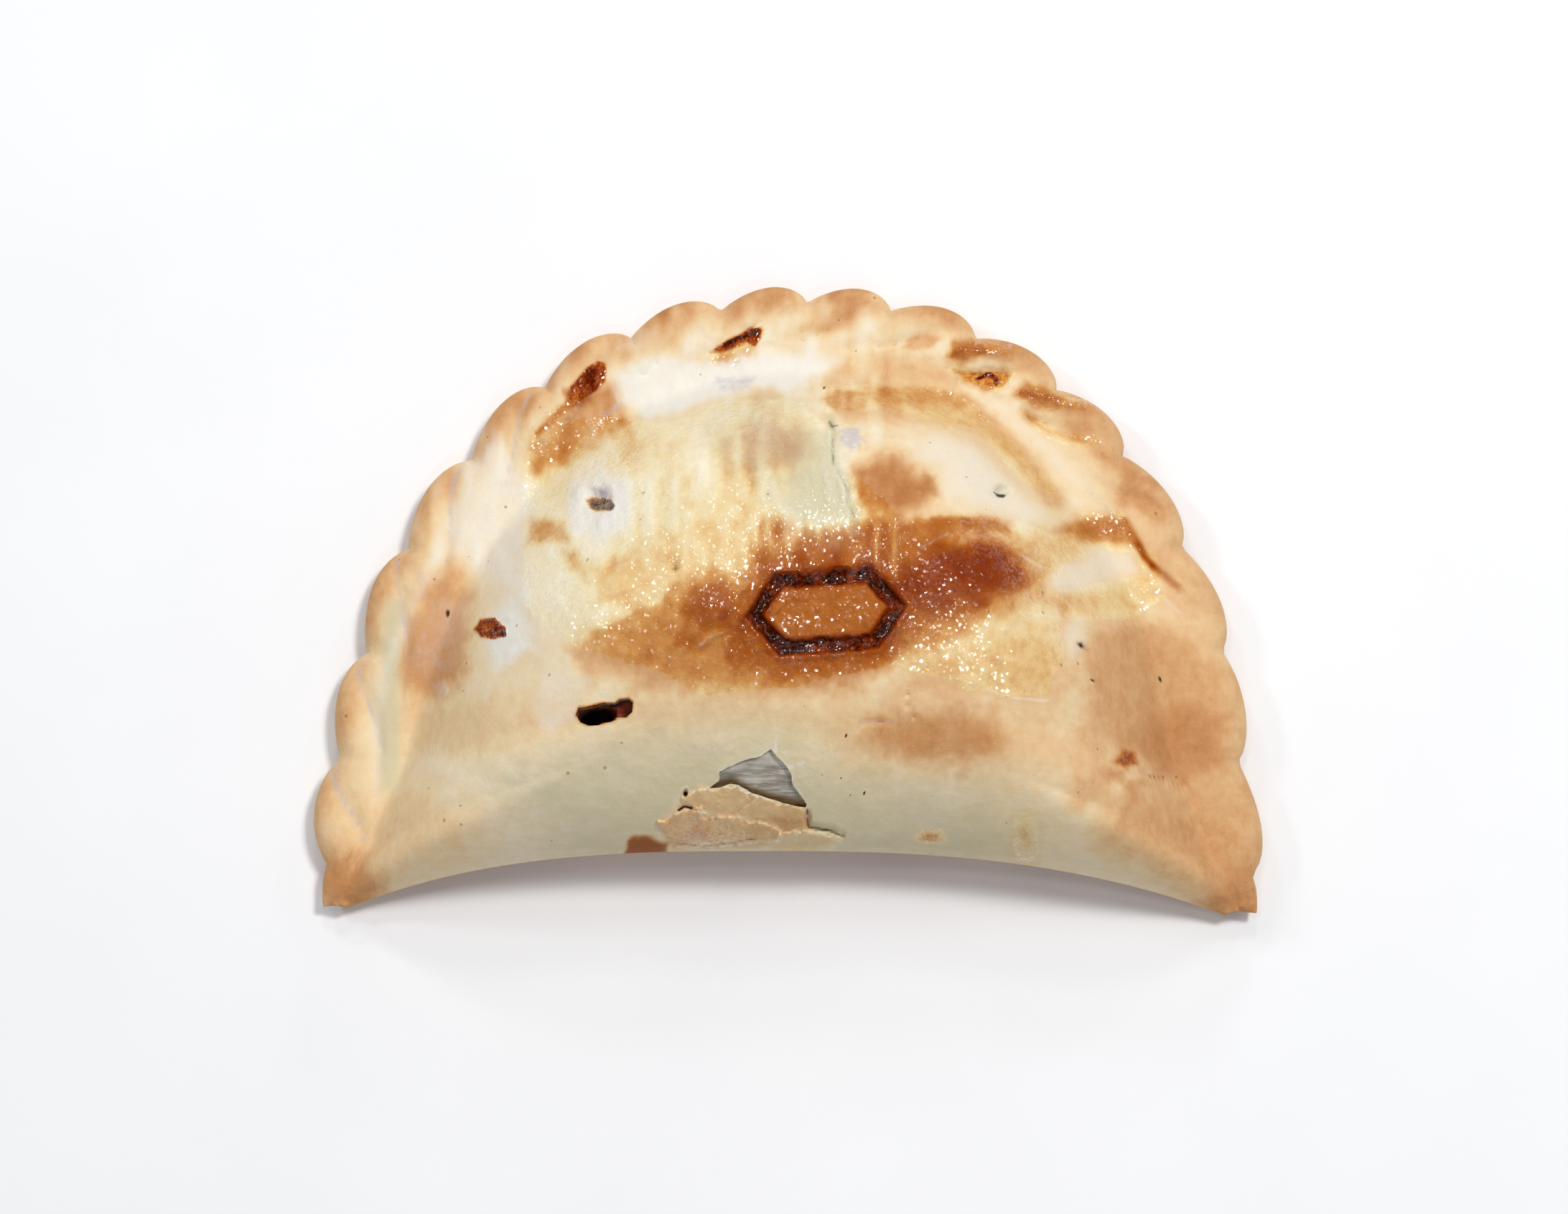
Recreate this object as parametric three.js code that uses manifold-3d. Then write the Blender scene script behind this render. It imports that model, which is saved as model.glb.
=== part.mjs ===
// An empanada, baked on its flat side: a crescent of dough folded over its filling, its rounded
// edge closed with a hand-twisted rope of pinches and its straight edge a smooth fold.
//
// Millimetres, +Z up. It lies on its baked side. While it is being shaped, x runs from the left
// horn to the right one, y from the line between the horns towards the rope, and z up from the
// tray; at the end it is moved so that the middle of its footprint is the origin.
//
// Two closed solids: the crust, a wall of dough round a hollow, and the filling inside it, which
// shows through a tear near the fold and under a steam vent.

import * as THREE from "three";
import { mergeVertices } from "three/addons/utils/BufferGeometryUtils.js";
import Module from "manifold-3d";

const wasm = await Module();
wasm.setup();

// ---- Driving dimensions -------------------------------------------------------------------

// The rope: each pinch ends in a valley. Its angle in degrees round the rope's centre, and the
// radius there. The first and last entries are the outer corners of the two horns.
const ROPE_CENTRE = new THREE.Vector2(0, 28);
const VALLEYS = [
  [-23.5, 69.6], [-19.4, 67.0], [-6.5, 61.8], [7.8, 59.9], [22.5, 58.4], [37.2, 57.8],
  [50.0, 57.5], [63.2, 57.3], [75.5, 56.8], [87.2, 56.2], [99.5, 55.7], [112.8, 55.5],
  [127.0, 55.3], [141.8, 55.1], [157.2, 56.2], [172.5, 57.8], [186.5, 61.1], [198.5, 66.0],
  [203.1, 68.5],
];
const LOBE_DEPTHS = [1.6, 2.5]; // how far a pinch stands out, by the right horn and past DEEP_FROM
const DEEP_FROM = 7; // in pinches
const LOBE_SKEW = 0.75; // under 1 the pinch stands out most soon after its valley
const LOBE_ROUNDNESS = 0.8;

// The fold: a shallow bay between the ends of the horns.
const FOLD_TOP = { x: -2, y: 8.3 };
const FOLD_RIGHT = { x: 59.4, y: 0, power: 2.6 };
const FOLD_LEFT = { x: -59.8, y: 0.9, power: 3.0 };

// Heights. The rope is as high as ROPE_TOP and the filled body as high as CROWN.
const ROPE_WIDTH = 9;
const HORN_ROPE_WIDTH = 3;
const ROPE_EDGE = 3; // radius of its outer edge, seen in section
const ROPE_MID = 3.2; // height of that edge
const ROPE_TOP = 6.4;
const ROPE_UNDER = 0.6; // the rope's underside clears the tray by this
const ROPE_FOOT = 3; // and comes down to it over this length
const CROWN = 33.5;
const SHOULDER = 34; // the body rises over this length from the rope
const SHOULDER_POWER = 2.8;
const SHOULDER_FILLET = 2.5; // softness of the corner between rope and body
const BELLY = 40; // and over this length from the fold
const BELLY_POWER = 2.2;
const HORN_BELLY = 12;
const FOLD_MID = 11; // height where the fold stands out furthest
const FOLD_UNDER = 11; // width of the round under the fold
const HORN_UNDER = 1.2;
const HORN_TAPER = 2.2; // how fast the fold's sizes fall off towards the horns

// Wall of dough, and the gap that keeps the filling clear of it.
const WALL = 2.2;
const FLOOR_WALL = 2.6;
const GAP = 0.5; // along an axis, so a slanting face keeps at least 0.3
const HOLLOW_SPAN = [0.11, 0.89]; // share of the way from horn to horn
const HOLLOW_SETBACK = 1; // more dough beside the rope and the fold than above
const LEAST_ROOM = 2; // height of the hollow at its rim
const SIDE_FOOT = { in: 0.03, down: 0.7 }; // corner of the hollow between the fold and the floor

// The twist: strands of dough between creases. Each crease starts in a valley and runs inwards
// as the angle grows. By the right horn the pinches are pressed smooth.
const CREASE_SPAN = 1.4; // length, in pinches
const CREASE_INSET = 6.4; // how far inside the edge it ends
const CREASE_FADE = 3;
const STRAND_HEIGHT = 1.5;
const STRAND_ROUNDNESS = 0.55;
const STRAND_LEVEL = 0.7; // share of a strand's height that lies below the rope's smooth top
const STRAND_EDGE = 1.5; // strands rise over this length from the rope's edge
const SMOOTH_TO = 2.2; // in pinches
const SMOOTH_FADE = 2.4;

// Swellings and hollows of the top: x, y, radius, height.
const SWELLS = [
  [-10, 40, 5, 0.8], [26, 44, 7, 1.1], [5, 39, 12, -0.8], [3, 62, 9, -1.0], [14, 57, 6, 0.6],
  [-27, 44, 9, 0.6], [-45, 35, 9, 0.5], [50, 28, 9, 0.6], [20, 22, 11, 0.5], [16, 70, 9, 0.7],
  [-25.3, 54, 3.2, -0.9], [28.6, 55.5, 2.6, -0.6], [39, 44, 6, -0.5], [-30, 66, 7, 0.5],
];
const SWELL_FADE = 6; // they start this far from the fold

// The baker's stamp: a long hexagon frame pressed into the crown.
const STAMP_AT = new THREE.Vector2(5.1, 38.5);
const STAMP_TURN = 4; // degrees
const STAMP_HALF = [10.5, 5.3];
const STAMP_SHOULDER = 0.62; // share of the half length with straight sides
const STAMP_STROKE = 1.9;
const STAMP_DEPTH = 0.8;

// Steam vents and holes: x, y, half length, half width, turn in degrees.
const VENT = [-23.8, 25.3, 3.8, 1.5, 8];
const VENT_POCKET = 4.5; // depth of the steam pocket that the vent has left in the filling
const PITS = [
  [-25.4, 54.8, 1.8, 0.9, -12], [-39.7, 37.9, 2.0, 1.4, -8], [28.7, 56.4, 0.8, 0.6, 0],
  [39.7, 34.7, 1.0, 0.5, -28], [-14.5, 44.2, 0.8, 0.5, -40], [-6.2, 79.5, 2.6, 0.7, 28],
  [28.1, 73.9, 1.9, 0.7, -14], [-13.3, 15.3, 0.5, 0.6, 0],
];
const PIT_DEPTH = 1.6;

// The tear by the fold, and the loose plates of crust round it. Corners in plan.
const TEAR = [
  [-9.9, 15.9], [-8.9, 18.2], [-6.6, 18.7], [-4.0, 19.4], [-1.8, 20.8], [-0.1, 18.8],
  [0.9, 17.4], [1.8, 15.4], [2.6, 13.5], [0.4, 13.7], [-1.9, 14.1], [-4.8, 15.1], [-7.1, 16.2],
];
const PLATES = [
  { rise: 0.5, corners: [[-13.6, 14.4], [-10.0, 15.6], [-7.1, 16.0], [-4.8, 14.9], [-1.9, 13.9],
    [2.3, 13.3], [2.2, 11.1], [-1.4, 11.4], [-4.0, 11.9], [-9.8, 12.7], [-12.4, 13.6]] },
  { rise: 0.9, corners: [[-17.3, 11.6], [-14.2, 13.1], [-9.8, 12.2], [-7.0, 12.1], [-4.0, 11.5],
    [-1.2, 10.6], [-1.6, 10.0], [-7.4, 9.4], [-10.8, 8.9], [-15, 9.3]] },
];
const CRACK = [[2.6, 13.2], [3.0, 11.3], [4.6, 11.1], [7.6, 10.2], [4.6, 10.4], [2.2, 10.7]];
const CRACK_DEPTH = 1.5;

// Fineness of the faceted surfaces.
const CUTS_PER_LOBE = 7;
const HORN_CUTS = 3;
const ROPE_STEPS = 9;
const DOME_STEPS = 11;
const ROUND_STEPS = 4;
const FLAT_STEPS = 2;
const HOLLOW_CUTS = 28;
const HOLLOW_STEPS = 12;
const COLUMN_CURVE_STEPS = 6;
const FOLD_ROUND = 6; // length beside the fold with closer steps
const MOST = { rope: 0.42, round: 0.2, under: 0.3 }; // share of a section that each may take
const SPACING = 1.3; // over 1 brings steps closer together towards the fold
const UNDER_ROPE = 1.3; // the closer steps under the rope reach further in by this factor
const TALL = 60; // longer than anything here is high

const { degToRad: radians, radToDeg: degrees, lerp, clamp } = THREE.MathUtils;
const clamp01 = (x) => clamp(x, 0, 1);
const ease = (x) => clamp01(x) ** 2 * (3 - 2 * clamp01(x));

// Shares from 0 to 1 in even steps, the end left out.
const steps = (count) => Array.from({ length: count }, (_, i) => i / count);

// ---- Plan: the rope's outline and the fold ------------------------------------------------

const FIRST_ANGLE = VALLEYS[0][0];
const LAST_ANGLE = VALLEYS[VALLEYS.length - 1][0];
const LAST_PINCH = VALLEYS.length - 2;

// Count of valleys passed at an angle, with the part of the pinch after the last of them.
function pinchCount(angle) {
  let i = 0;
  while (i < LAST_PINCH && VALLEYS[i + 1][0] <= angle) i += 1;
  const [from, to] = [VALLEYS[i][0], VALLEYS[i + 1][0]];
  return i + clamp01((angle - from) / (to - from));
}

// A smooth curve through the valleys.
const VALLEY_CURVE = new THREE.SplineCurve(VALLEYS.map(([, radius], i) => new THREE.Vector2(i, radius)));
const valleyRadius = (pinches) => VALLEY_CURVE.getPoint(pinches / (VALLEYS.length - 1)).y;

// How far the edge stands out of the valleys. The horns have no pinch of their own.
function lobe(pinches) {
  if (pinches < 1 || pinches > LAST_PINCH) return 0;
  const depth = lerp(...LOBE_DEPTHS, clamp01(pinches / DEEP_FROM));
  return depth * Math.sin(Math.PI * (pinches % 1) ** LOBE_SKEW) ** LOBE_ROUNDNESS;
}

// The bay between the horns: its edge at x, and how close x is to the end of its horn, 0 to 1.
function foldAt(x) {
  const end = x > FOLD_TOP.x ? FOLD_RIGHT : FOLD_LEFT;
  const across = clamp01((x - FOLD_TOP.x) / (end.x - FOLD_TOP.x));
  return { y: lerp(FOLD_TOP.y, end.y, across ** end.power), horn: across ** HORN_TAPER };
}

// The line that a section follows, from the rope across the body to the fold. It leaves the rope
// at a right angle. The share runs from the right horn to the left one.
function pathAt(share) {
  const pinches = pinchCount(lerp(FIRST_ANGLE, LAST_ANGLE, share));
  const turn = radians(lerp(FIRST_ANGLE, LAST_ANGLE, share));
  const outwards = new THREE.Vector2(Math.cos(turn), Math.sin(turn));
  const start = outwards.clone().multiplyScalar(valleyRadius(pinches)).add(ROPE_CENTRE);
  const foldX = lerp(FOLD_RIGHT.x, FOLD_LEFT.x, share);
  const end = new THREE.Vector2(foldX, foldAt(foldX).y);
  const length = start.distanceTo(end);
  const middle = start.clone().addScaledVector(outwards, -length / 2);
  return { curve: new THREE.QuadraticBezierCurve(start, middle, end), length };
}

// ---- Heights ------------------------------------------------------------------------------

// A spot in plan: how far inside the rope's edge and the fold it lies, and its place in the twist.
function placeOf(x, y) {
  const [dx, dy] = [x - ROPE_CENTRE.x, y - ROPE_CENTRE.y];
  const raw = degrees(Math.atan2(dy, dx));
  const angle = raw < -90 ? raw + 360 : raw;
  const pinches = pinchCount(angle);
  const fromHorn = Math.min(pinches, VALLEYS.length - 1 - pinches);
  const fold = foldAt(x);
  return {
    x,
    y,
    pinches,
    outwards: new THREE.Vector2(dx, dy).normalize(),
    fromRope: Math.max(0, valleyRadius(pinches) - Math.hypot(dx, dy)),
    ropeWidth: lerp(HORN_ROPE_WIDTH, ROPE_WIDTH, ease(fromHorn / 2)),
    fromFold: Math.max(0, y - fold.y),
    foldMid: lerp(FOLD_MID, ROPE_MID, fold.horn),
    belly: lerp(BELLY, HORN_BELLY, fold.horn),
    foldUnder: lerp(FOLD_UNDER, HORN_UNDER, fold.horn),
  };
}

// Height of a rounded edge at a distance inside it, 0 to 1.
function quarterRound(inside, radius, power = 2) {
  return Math.sqrt(Math.max(0, 1 - (1 - clamp01(inside / radius)) ** power));
}

// The body's smooth top. An inset makes the same shape smaller all round.
function bodyHeight(place, inset = 0) {
  const { fromRope, ropeWidth, fromFold, foldMid, belly } = place;
  const past = Math.max(0, fromRope - ropeWidth - inset);
  const up = clamp01((Math.hypot(past, SHOULDER_FILLET) - SHOULDER_FILLET) / SHOULDER);
  const rim = lerp(ROPE_MID, ROPE_TOP, quarterRound(fromRope, ROPE_EDGE));
  const full = rim + (CROWN - ROPE_TOP) * (1 - (1 - up) ** SHOULDER_POWER);
  return lerp(foldMid, full, quarterRound(fromFold - inset, belly, BELLY_POWER)) - inset;
}

// Rounded strands between sharp creases on the rope's top.
function twistRelief({ pinches, fromRope, ropeWidth }) {
  const lag = CREASE_SPAN * (1 - Math.sqrt(1 - clamp01(fromRope / CREASE_INSET)));
  const strand = pinches - lag;
  if (strand < 1 || pinches > LAST_PINCH) return 0;
  const round = Math.sin(Math.PI * (strand % 1)) ** STRAND_ROUNDNESS - STRAND_LEVEL;
  const inner = ease((fromRope - CREASE_INSET + CREASE_FADE / 2) / CREASE_FADE);
  const fade = ease(fromRope / STRAND_EDGE) * (1 - inner) * ease((pinches - SMOOTH_TO) / SMOOTH_FADE);
  return STRAND_HEIGHT * round * fade * ease(ropeWidth / ROPE_WIDTH);
}

function swellRelief({ x, y, fromFold }) {
  const sum = SWELLS.reduce(
    (total, [sx, sy, radius, height]) =>
      total + height * Math.exp(-((x - sx) ** 2 + (y - sy) ** 2) / radius ** 2),
    0,
  );
  return sum * ease(fromFold / SWELL_FADE);
}

const topHeight = (place) => bodyHeight(place) + twistRelief(place) + swellRelief(place);

function underHeight({ fromRope, ropeWidth, fromFold, foldMid, foldUnder }) {
  const lifted = ROPE_UNDER * (1 - ease((fromRope - ropeWidth) / ROPE_FOOT));
  const rim = lerp(ROPE_MID, lifted, quarterRound(fromRope, ROPE_EDGE));
  return lerp(foldMid, rim, quarterRound(fromFold, foldUnder));
}

// ---- Sections -----------------------------------------------------------------------------

// The closed loop of the dough at a share: over the top from rope to fold, and back underneath.
function doughRing(share) {
  const { curve, length } = pathAt(share);
  const rope = Math.min(ROPE_WIDTH / length, MOST.rope);
  const round = Math.min(FOLD_ROUND / length, MOST.round);
  const under = Math.min(FOLD_UNDER / length, MOST.under);
  const fine = (q) => lerp(1 - Math.cos((Math.PI / 2) * q), q, q);
  const over = [
    ...steps(ROPE_STEPS).map((q) => rope * fine(q)),
    ...steps(DOME_STEPS).map((q) => lerp(rope, 1 - round, 1 - (1 - q) ** SPACING)),
    ...steps(ROUND_STEPS).map((q) => 1 - round * (1 - q) ** 2),
  ];
  const back = [
    ...steps(ROUND_STEPS).map((q) => 1 - under * (1 - Math.cos((Math.PI / 2) * q))),
    ...steps(FLAT_STEPS).map((q) => lerp(1 - under, rope * UNDER_ROPE, q)),
    ...steps(ROUND_STEPS).map((q) => rope * UNDER_ROPE * (1 - fine(q))),
  ];
  const at = (t, heightOf) => {
    const spot = curve.getPoint(t);
    const place = placeOf(spot.x, spot.y);
    const out = lobe(place.pinches) * (1 - ease(place.fromRope / place.ropeWidth));
    spot.addScaledVector(place.outwards, out);
    return new THREE.Vector3(spot.x, spot.y, heightOf(place));
  };
  return [...over.map((t) => at(t, topHeight)), ...back.map((t) => at(t, underHeight))];
}

// The loop of the hollow inside the crust: a floor, and a vault that follows the top.
function hollowRing(share) {
  const { curve, length } = pathAt(share);
  const setback = WALL + HOLLOW_SETBACK;
  const [start, end] = [(ROPE_WIDTH + setback) / length, 1 - setback / length];
  const vault = steps(HOLLOW_STEPS).map((q) => {
    const spot = curve.getPoint(lerp(start, end, 1 - (1 - q) ** SPACING));
    const height = bodyHeight(placeOf(spot.x, spot.y), WALL);
    return new THREE.Vector3(spot.x, spot.y, Math.max(height, FLOOR_WALL + LEAST_ROOM));
  });
  const base = [0, 0.2, 0.6, 1].map((q) => {
    const spot = curve.getPoint(lerp(end, start, lerp(0.1, 1, q)));
    return new THREE.Vector3(spot.x, spot.y, FLOOR_WALL);
  });
  const side = curve.getPoint(end);
  const sideFoot = curve.getPoint(lerp(end, start, SIDE_FOOT.in));
  const { foldMid } = placeOf(side.x, side.y);
  return [
    ...vault,
    new THREE.Vector3(side.x, side.y, foldMid),
    new THREE.Vector3(sideFoot.x, sideFoot.y, lerp(foldMid, FLOOR_WALL, SIDE_FOOT.down)),
    ...base,
  ];
}

// ---- Meshes and solids --------------------------------------------------------------------

// A closed skin through rings of points, with a flat fan over each end.
function loft(rings) {
  const around = rings[0].length;
  const mean = (ring) => ring.reduce((sum, p) => sum.add(p), new THREE.Vector3()).divideScalar(around);
  const points = [...rings.flat(), mean(rings[0]), mean(rings[rings.length - 1])];
  const [firstHub, lastHub] = [points.length - 2, points.length - 1];
  const lastRing = (rings.length - 1) * around;
  const index = [];
  for (let k = 0; k < around; k += 1) {
    const next = (k + 1) % around;
    index.push(firstHub, k, next, lastHub, lastRing + next, lastRing + k);
    for (let here = 0; here < lastRing; here += around) {
      const there = here + around;
      index.push(here + k, there + k, here + next, here + next, there + k, there + next);
    }
  }
  return new THREE.BufferGeometry().setFromPoints(points).setIndex(index);
}

function solidOf(geometry) {
  const bare = new THREE.BufferGeometry().setAttribute("position", geometry.getAttribute("position"));
  bare.setIndex(geometry.index);
  const merged = mergeVertices(bare, 1e-4);
  const corners = [];
  const { array } = merged.index;
  for (let k = 0; k < array.length; k += 3) {
    const [a, b, c] = array.slice(k, k + 3);
    if (a !== b && b !== c && c !== a) corners.push(a, b, c);
  }
  const mesh = new wasm.Mesh({
    numProp: 3,
    vertProperties: merged.getAttribute("position").array,
    triVerts: new Uint32Array(corners),
  });
  return new wasm.Manifold(mesh);
}

function geometryOf(solid) {
  const { vertProperties, triVerts } = solid.getMesh();
  const geometry = new THREE.BufferGeometry();
  geometry.setAttribute("position", new THREE.BufferAttribute(vertProperties, 3));
  geometry.setIndex(new THREE.BufferAttribute(triVerts, 1));
  geometry.computeVertexNormals();
  return geometry;
}

// A column over an outline in plan, from a height up to well above the crown.
function column(shape, from = 0) {
  const depth = TALL - from;
  const options = { depth, bevelEnabled: false, curveSegments: COLUMN_CURVE_STEPS };
  return solidOf(new THREE.ExtrudeGeometry(shape, options).translate(0, 0, from));
}

const shapeOf = (corners) => new THREE.Shape(corners.map(([x, y]) => new THREE.Vector2(x, y)));

function ovalShape([x, y, halfLength, halfWidth, turn]) {
  return new THREE.Shape().absellipse(x, y, halfLength, halfWidth, 0, 2 * Math.PI, false, radians(turn));
}

// A long hexagon round the stamp's middle, smaller all round by an inset.
function stampHexagon(inset) {
  const [halfLength, halfWidth] = [STAMP_HALF[0] - inset * 1.3, STAMP_HALF[1] - inset];
  const flat = STAMP_HALF[0] * STAMP_SHOULDER - inset * 0.5;
  const corners = [
    [halfLength, 0], [flat, halfWidth], [-flat, halfWidth],
    [-halfLength, 0], [-flat, -halfWidth], [flat, -halfWidth],
  ];
  const turned = corners.map(([x, y]) =>
    new THREE.Vector2(x, y).rotateAround(new THREE.Vector2(), radians(STAMP_TURN)).add(STAMP_AT),
  );
  return new THREE.Shape(turned);
}

// What lies under an outline in plan, within a depth of the surface of a solid.
const skinUnder = (solid, columnSolid, depth) => columnSolid.subtract(solid.translate([0, 0, -depth]));

// What stands on a solid over an outline in plan, up to a height above its surface.
const skinOver = (solid, columnSolid, rise) => columnSolid.intersect(solid.translate([0, -rise / 2, rise]));

// A solid drawn in all round.
function drawnIn(solid, gap) {
  const ways = [[gap, 0, 0], [-gap, 0, 0], [0, gap, 0], [0, -gap, 0], [0, 0, gap], [0, 0, -gap]];
  return ways.reduce((inner, way) => inner.intersect(solid.translate(way)), solid);
}

// ---- The pieces ---------------------------------------------------------------------------

function makeDough() {
  const angles = [];
  for (let i = 0; i <= LAST_PINCH; i += 1) {
    const cuts = i === 0 || i === LAST_PINCH ? HORN_CUTS : CUTS_PER_LOBE;
    angles.push(...steps(cuts).map((q) => lerp(VALLEYS[i][0], VALLEYS[i + 1][0], q)));
  }
  angles.push(LAST_ANGLE);
  const span = LAST_ANGLE - FIRST_ANGLE;
  return solidOf(loft(angles.map((angle) => doughRing((angle - FIRST_ANGLE) / span))));
}

function makeHollow() {
  return solidOf(loft([...steps(HOLLOW_CUTS), 1].map((q) => hollowRing(lerp(...HOLLOW_SPAN, q)))));
}

function makeCrust(dough, room) {
  const floor = FLOOR_WALL + 1;
  const stamp = column(stampHexagon(0)).subtract(column(stampHexagon(STAMP_STROKE)));
  const stamped = dough.subtract(skinUnder(dough, stamp, STAMP_DEPTH));
  const pitted = PITS.reduce(
    (solid, pit) => solid.subtract(skinUnder(dough, column(ovalShape(pit)), PIT_DEPTH)),
    stamped,
  );
  const plated = PLATES.reduce(
    (solid, { rise, corners }) => solid.add(skinOver(dough, column(shapeOf(corners), floor), rise)),
    pitted,
  );
  return plated
    .subtract(skinUnder(dough, column(shapeOf(CRACK), floor), CRACK_DEPTH))
    .subtract(room)
    .subtract(column(shapeOf(TEAR), floor))
    .subtract(column(ovalShape(VENT), floor));
}

function makeFilling(room) {
  const [x, y, halfLength, halfWidth, turn] = VENT;
  const pocket = column(ovalShape([x, y, halfLength + GAP, halfWidth + GAP, turn]));
  return drawnIn(room, GAP).subtract(skinUnder(room, pocket, VENT_POCKET));
}

function piece(name, solid, look) {
  const mesh = new THREE.Mesh(geometryOf(solid), new THREE.MeshStandardMaterial(look));
  mesh.name = name;
  return mesh;
}

const hollow = makeHollow();
const crust = makeCrust(makeDough(), hollow);
const filling = makeFilling(hollow);

const laid = new THREE.Group();
laid.add(piece("crust", crust, { color: 0xe8c998, roughness: 0.6, metalness: 0 }));
laid.add(piece("filling", filling, { color: 0xa39a88, roughness: 0.5, metalness: 0 }));

const box = new THREE.Box3().setFromObject(laid);
const middle = box.getCenter(new THREE.Vector3());
laid.position.set(-middle.x, -middle.y, -box.min.z);

const empanada = new THREE.Group();
empanada.add(laid);

export default empanada;
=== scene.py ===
# The empanada as it looks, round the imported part.
#
# Shapes are worked out in millimetres in the part's own plan: x runs from the left horn to the
# right one, y from the line between the horns towards the rope, and z up from the tray. Marks on
# the crust are placed in "seen" millimetres, which are the plan as the camera sees it: where the
# line from the camera through a point meets the level of the rope's edge.

import math

import bmesh
import bpy
import numpy as np
from mathutils import Matrix, Vector


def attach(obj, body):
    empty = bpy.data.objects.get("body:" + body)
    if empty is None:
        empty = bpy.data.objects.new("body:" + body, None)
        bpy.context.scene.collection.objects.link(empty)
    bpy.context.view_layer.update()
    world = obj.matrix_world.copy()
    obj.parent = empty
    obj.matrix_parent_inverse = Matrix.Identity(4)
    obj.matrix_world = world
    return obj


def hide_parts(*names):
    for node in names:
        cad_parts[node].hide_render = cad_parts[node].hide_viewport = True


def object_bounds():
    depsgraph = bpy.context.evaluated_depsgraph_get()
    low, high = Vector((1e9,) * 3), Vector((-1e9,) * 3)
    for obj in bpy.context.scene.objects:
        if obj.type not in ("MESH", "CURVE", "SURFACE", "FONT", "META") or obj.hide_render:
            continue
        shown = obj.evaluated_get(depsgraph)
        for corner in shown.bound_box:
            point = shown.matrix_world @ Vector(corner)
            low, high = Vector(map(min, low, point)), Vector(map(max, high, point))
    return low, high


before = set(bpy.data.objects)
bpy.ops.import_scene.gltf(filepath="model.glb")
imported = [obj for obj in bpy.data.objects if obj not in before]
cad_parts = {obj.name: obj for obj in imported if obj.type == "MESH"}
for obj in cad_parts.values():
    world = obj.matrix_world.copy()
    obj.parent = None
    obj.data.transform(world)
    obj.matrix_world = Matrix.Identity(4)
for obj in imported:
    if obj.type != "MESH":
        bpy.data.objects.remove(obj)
CAD_LOW, CAD_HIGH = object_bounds()

MM = 0.001

# ---- Sizes of the part, as its solids have them --------------------------------------------

ROPE_CENTRE_Y = 28
VALLEYS = [
    (-23.5, 69.6), (-19.4, 67.0), (-6.5, 61.8), (7.8, 59.9), (22.5, 58.4), (37.2, 57.8),
    (50.0, 57.5), (63.2, 57.3), (75.5, 56.8), (87.2, 56.2), (99.5, 55.7), (112.8, 55.5),
    (127.0, 55.3), (141.8, 55.1), (157.2, 56.2), (172.5, 57.8), (186.5, 61.1), (198.5, 66.0),
    (203.1, 68.5),
]
VALLEY_ANGLES = np.array([angle for angle, _ in VALLEYS])
VALLEY_RADII = np.array([radius for _, radius in VALLEYS])
LAST_PINCH = len(VALLEYS) - 2
LOBE_DEPTHS = (1.6, 2.5)
DEEP_FROM = 7
LOBE_SKEW = 0.75
LOBE_ROUNDNESS = 0.8

FOLD_TOP = (-2, 8.3)
FOLD_RIGHT = (59.4, 0, 2.6)
FOLD_LEFT = (-59.8, 0.9, 3.0)

ROPE_WIDTH = 9
HORN_ROPE_WIDTH = 3
ROPE_EDGE = 3
ROPE_MID = 3.2
ROPE_TOP = 6.4
ROPE_UNDER = 0.6
CROWN = 33.5
SHOULDER = 34
SHOULDER_POWER = 2.8
SHOULDER_FILLET = 2.5
BELLY = 40
BELLY_POWER = 2.2
HORN_BELLY = 12
FOLD_MID = 11
FOLD_UNDER = 11
HORN_UNDER = 1.2
HORN_TAPER = 2.2

WALL = 2.2
FLOOR_WALL = 2.6
FILLING_GAP = 0.35
HOLLOW_SPAN = (0.11, 0.89)

CREASE_SPAN = 1.4
CREASE_INSET = 6.4
CREASE_FADE = 3
STRAND_ROUNDNESS = 0.55
STRAND_LEVEL = 0.7
STRAND_EDGE = 1.5
SMOOTH_TO = 2.2
SMOOTH_FADE = 2.4

# Swellings and hollows of the top: x, y, radius, height.
SWELLS = [
    (-10, 40, 5, 0.8), (26, 44, 7, 1.1), (5, 39, 12, -0.8), (3, 62, 9, -1.0), (14, 57, 6, 0.6),
    (-27, 44, 9, 0.6), (-45, 35, 9, 0.5), (50, 28, 9, 0.6), (20, 22, 11, 0.5), (16, 70, 9, 0.7),
    (-25.3, 54, 3.2, -0.9), (28.6, 55.5, 2.6, -0.6), (39, 44, 6, -0.5), (-30, 66, 7, 0.5),
]

# ---- The camera, which the seen places depend on -------------------------------------------

CAMERA_TILT = math.radians(6)  # from straight above, towards the fold
CAMERA_DISTANCE = 600
CAMERA_TARGET = np.array([-0.4, 42.1, ROPE_MID])
FRAME_WIDTH = 214.7  # what the picture spans at the target
SENSOR_WIDTH = 36
CAMERA_BACK = np.array([0, -math.sin(CAMERA_TILT), math.cos(CAMERA_TILT)])
CAMERA_UP = np.array([0, math.cos(CAMERA_TILT), math.sin(CAMERA_TILT)])

# ---- Small helpers -------------------------------------------------------------------------


def ease(x):
    x = np.clip(x, 0, 1)
    return x * x * (3 - 2 * x)


def lerp(a, b, share):
    return a + (b - a) * share


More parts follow.
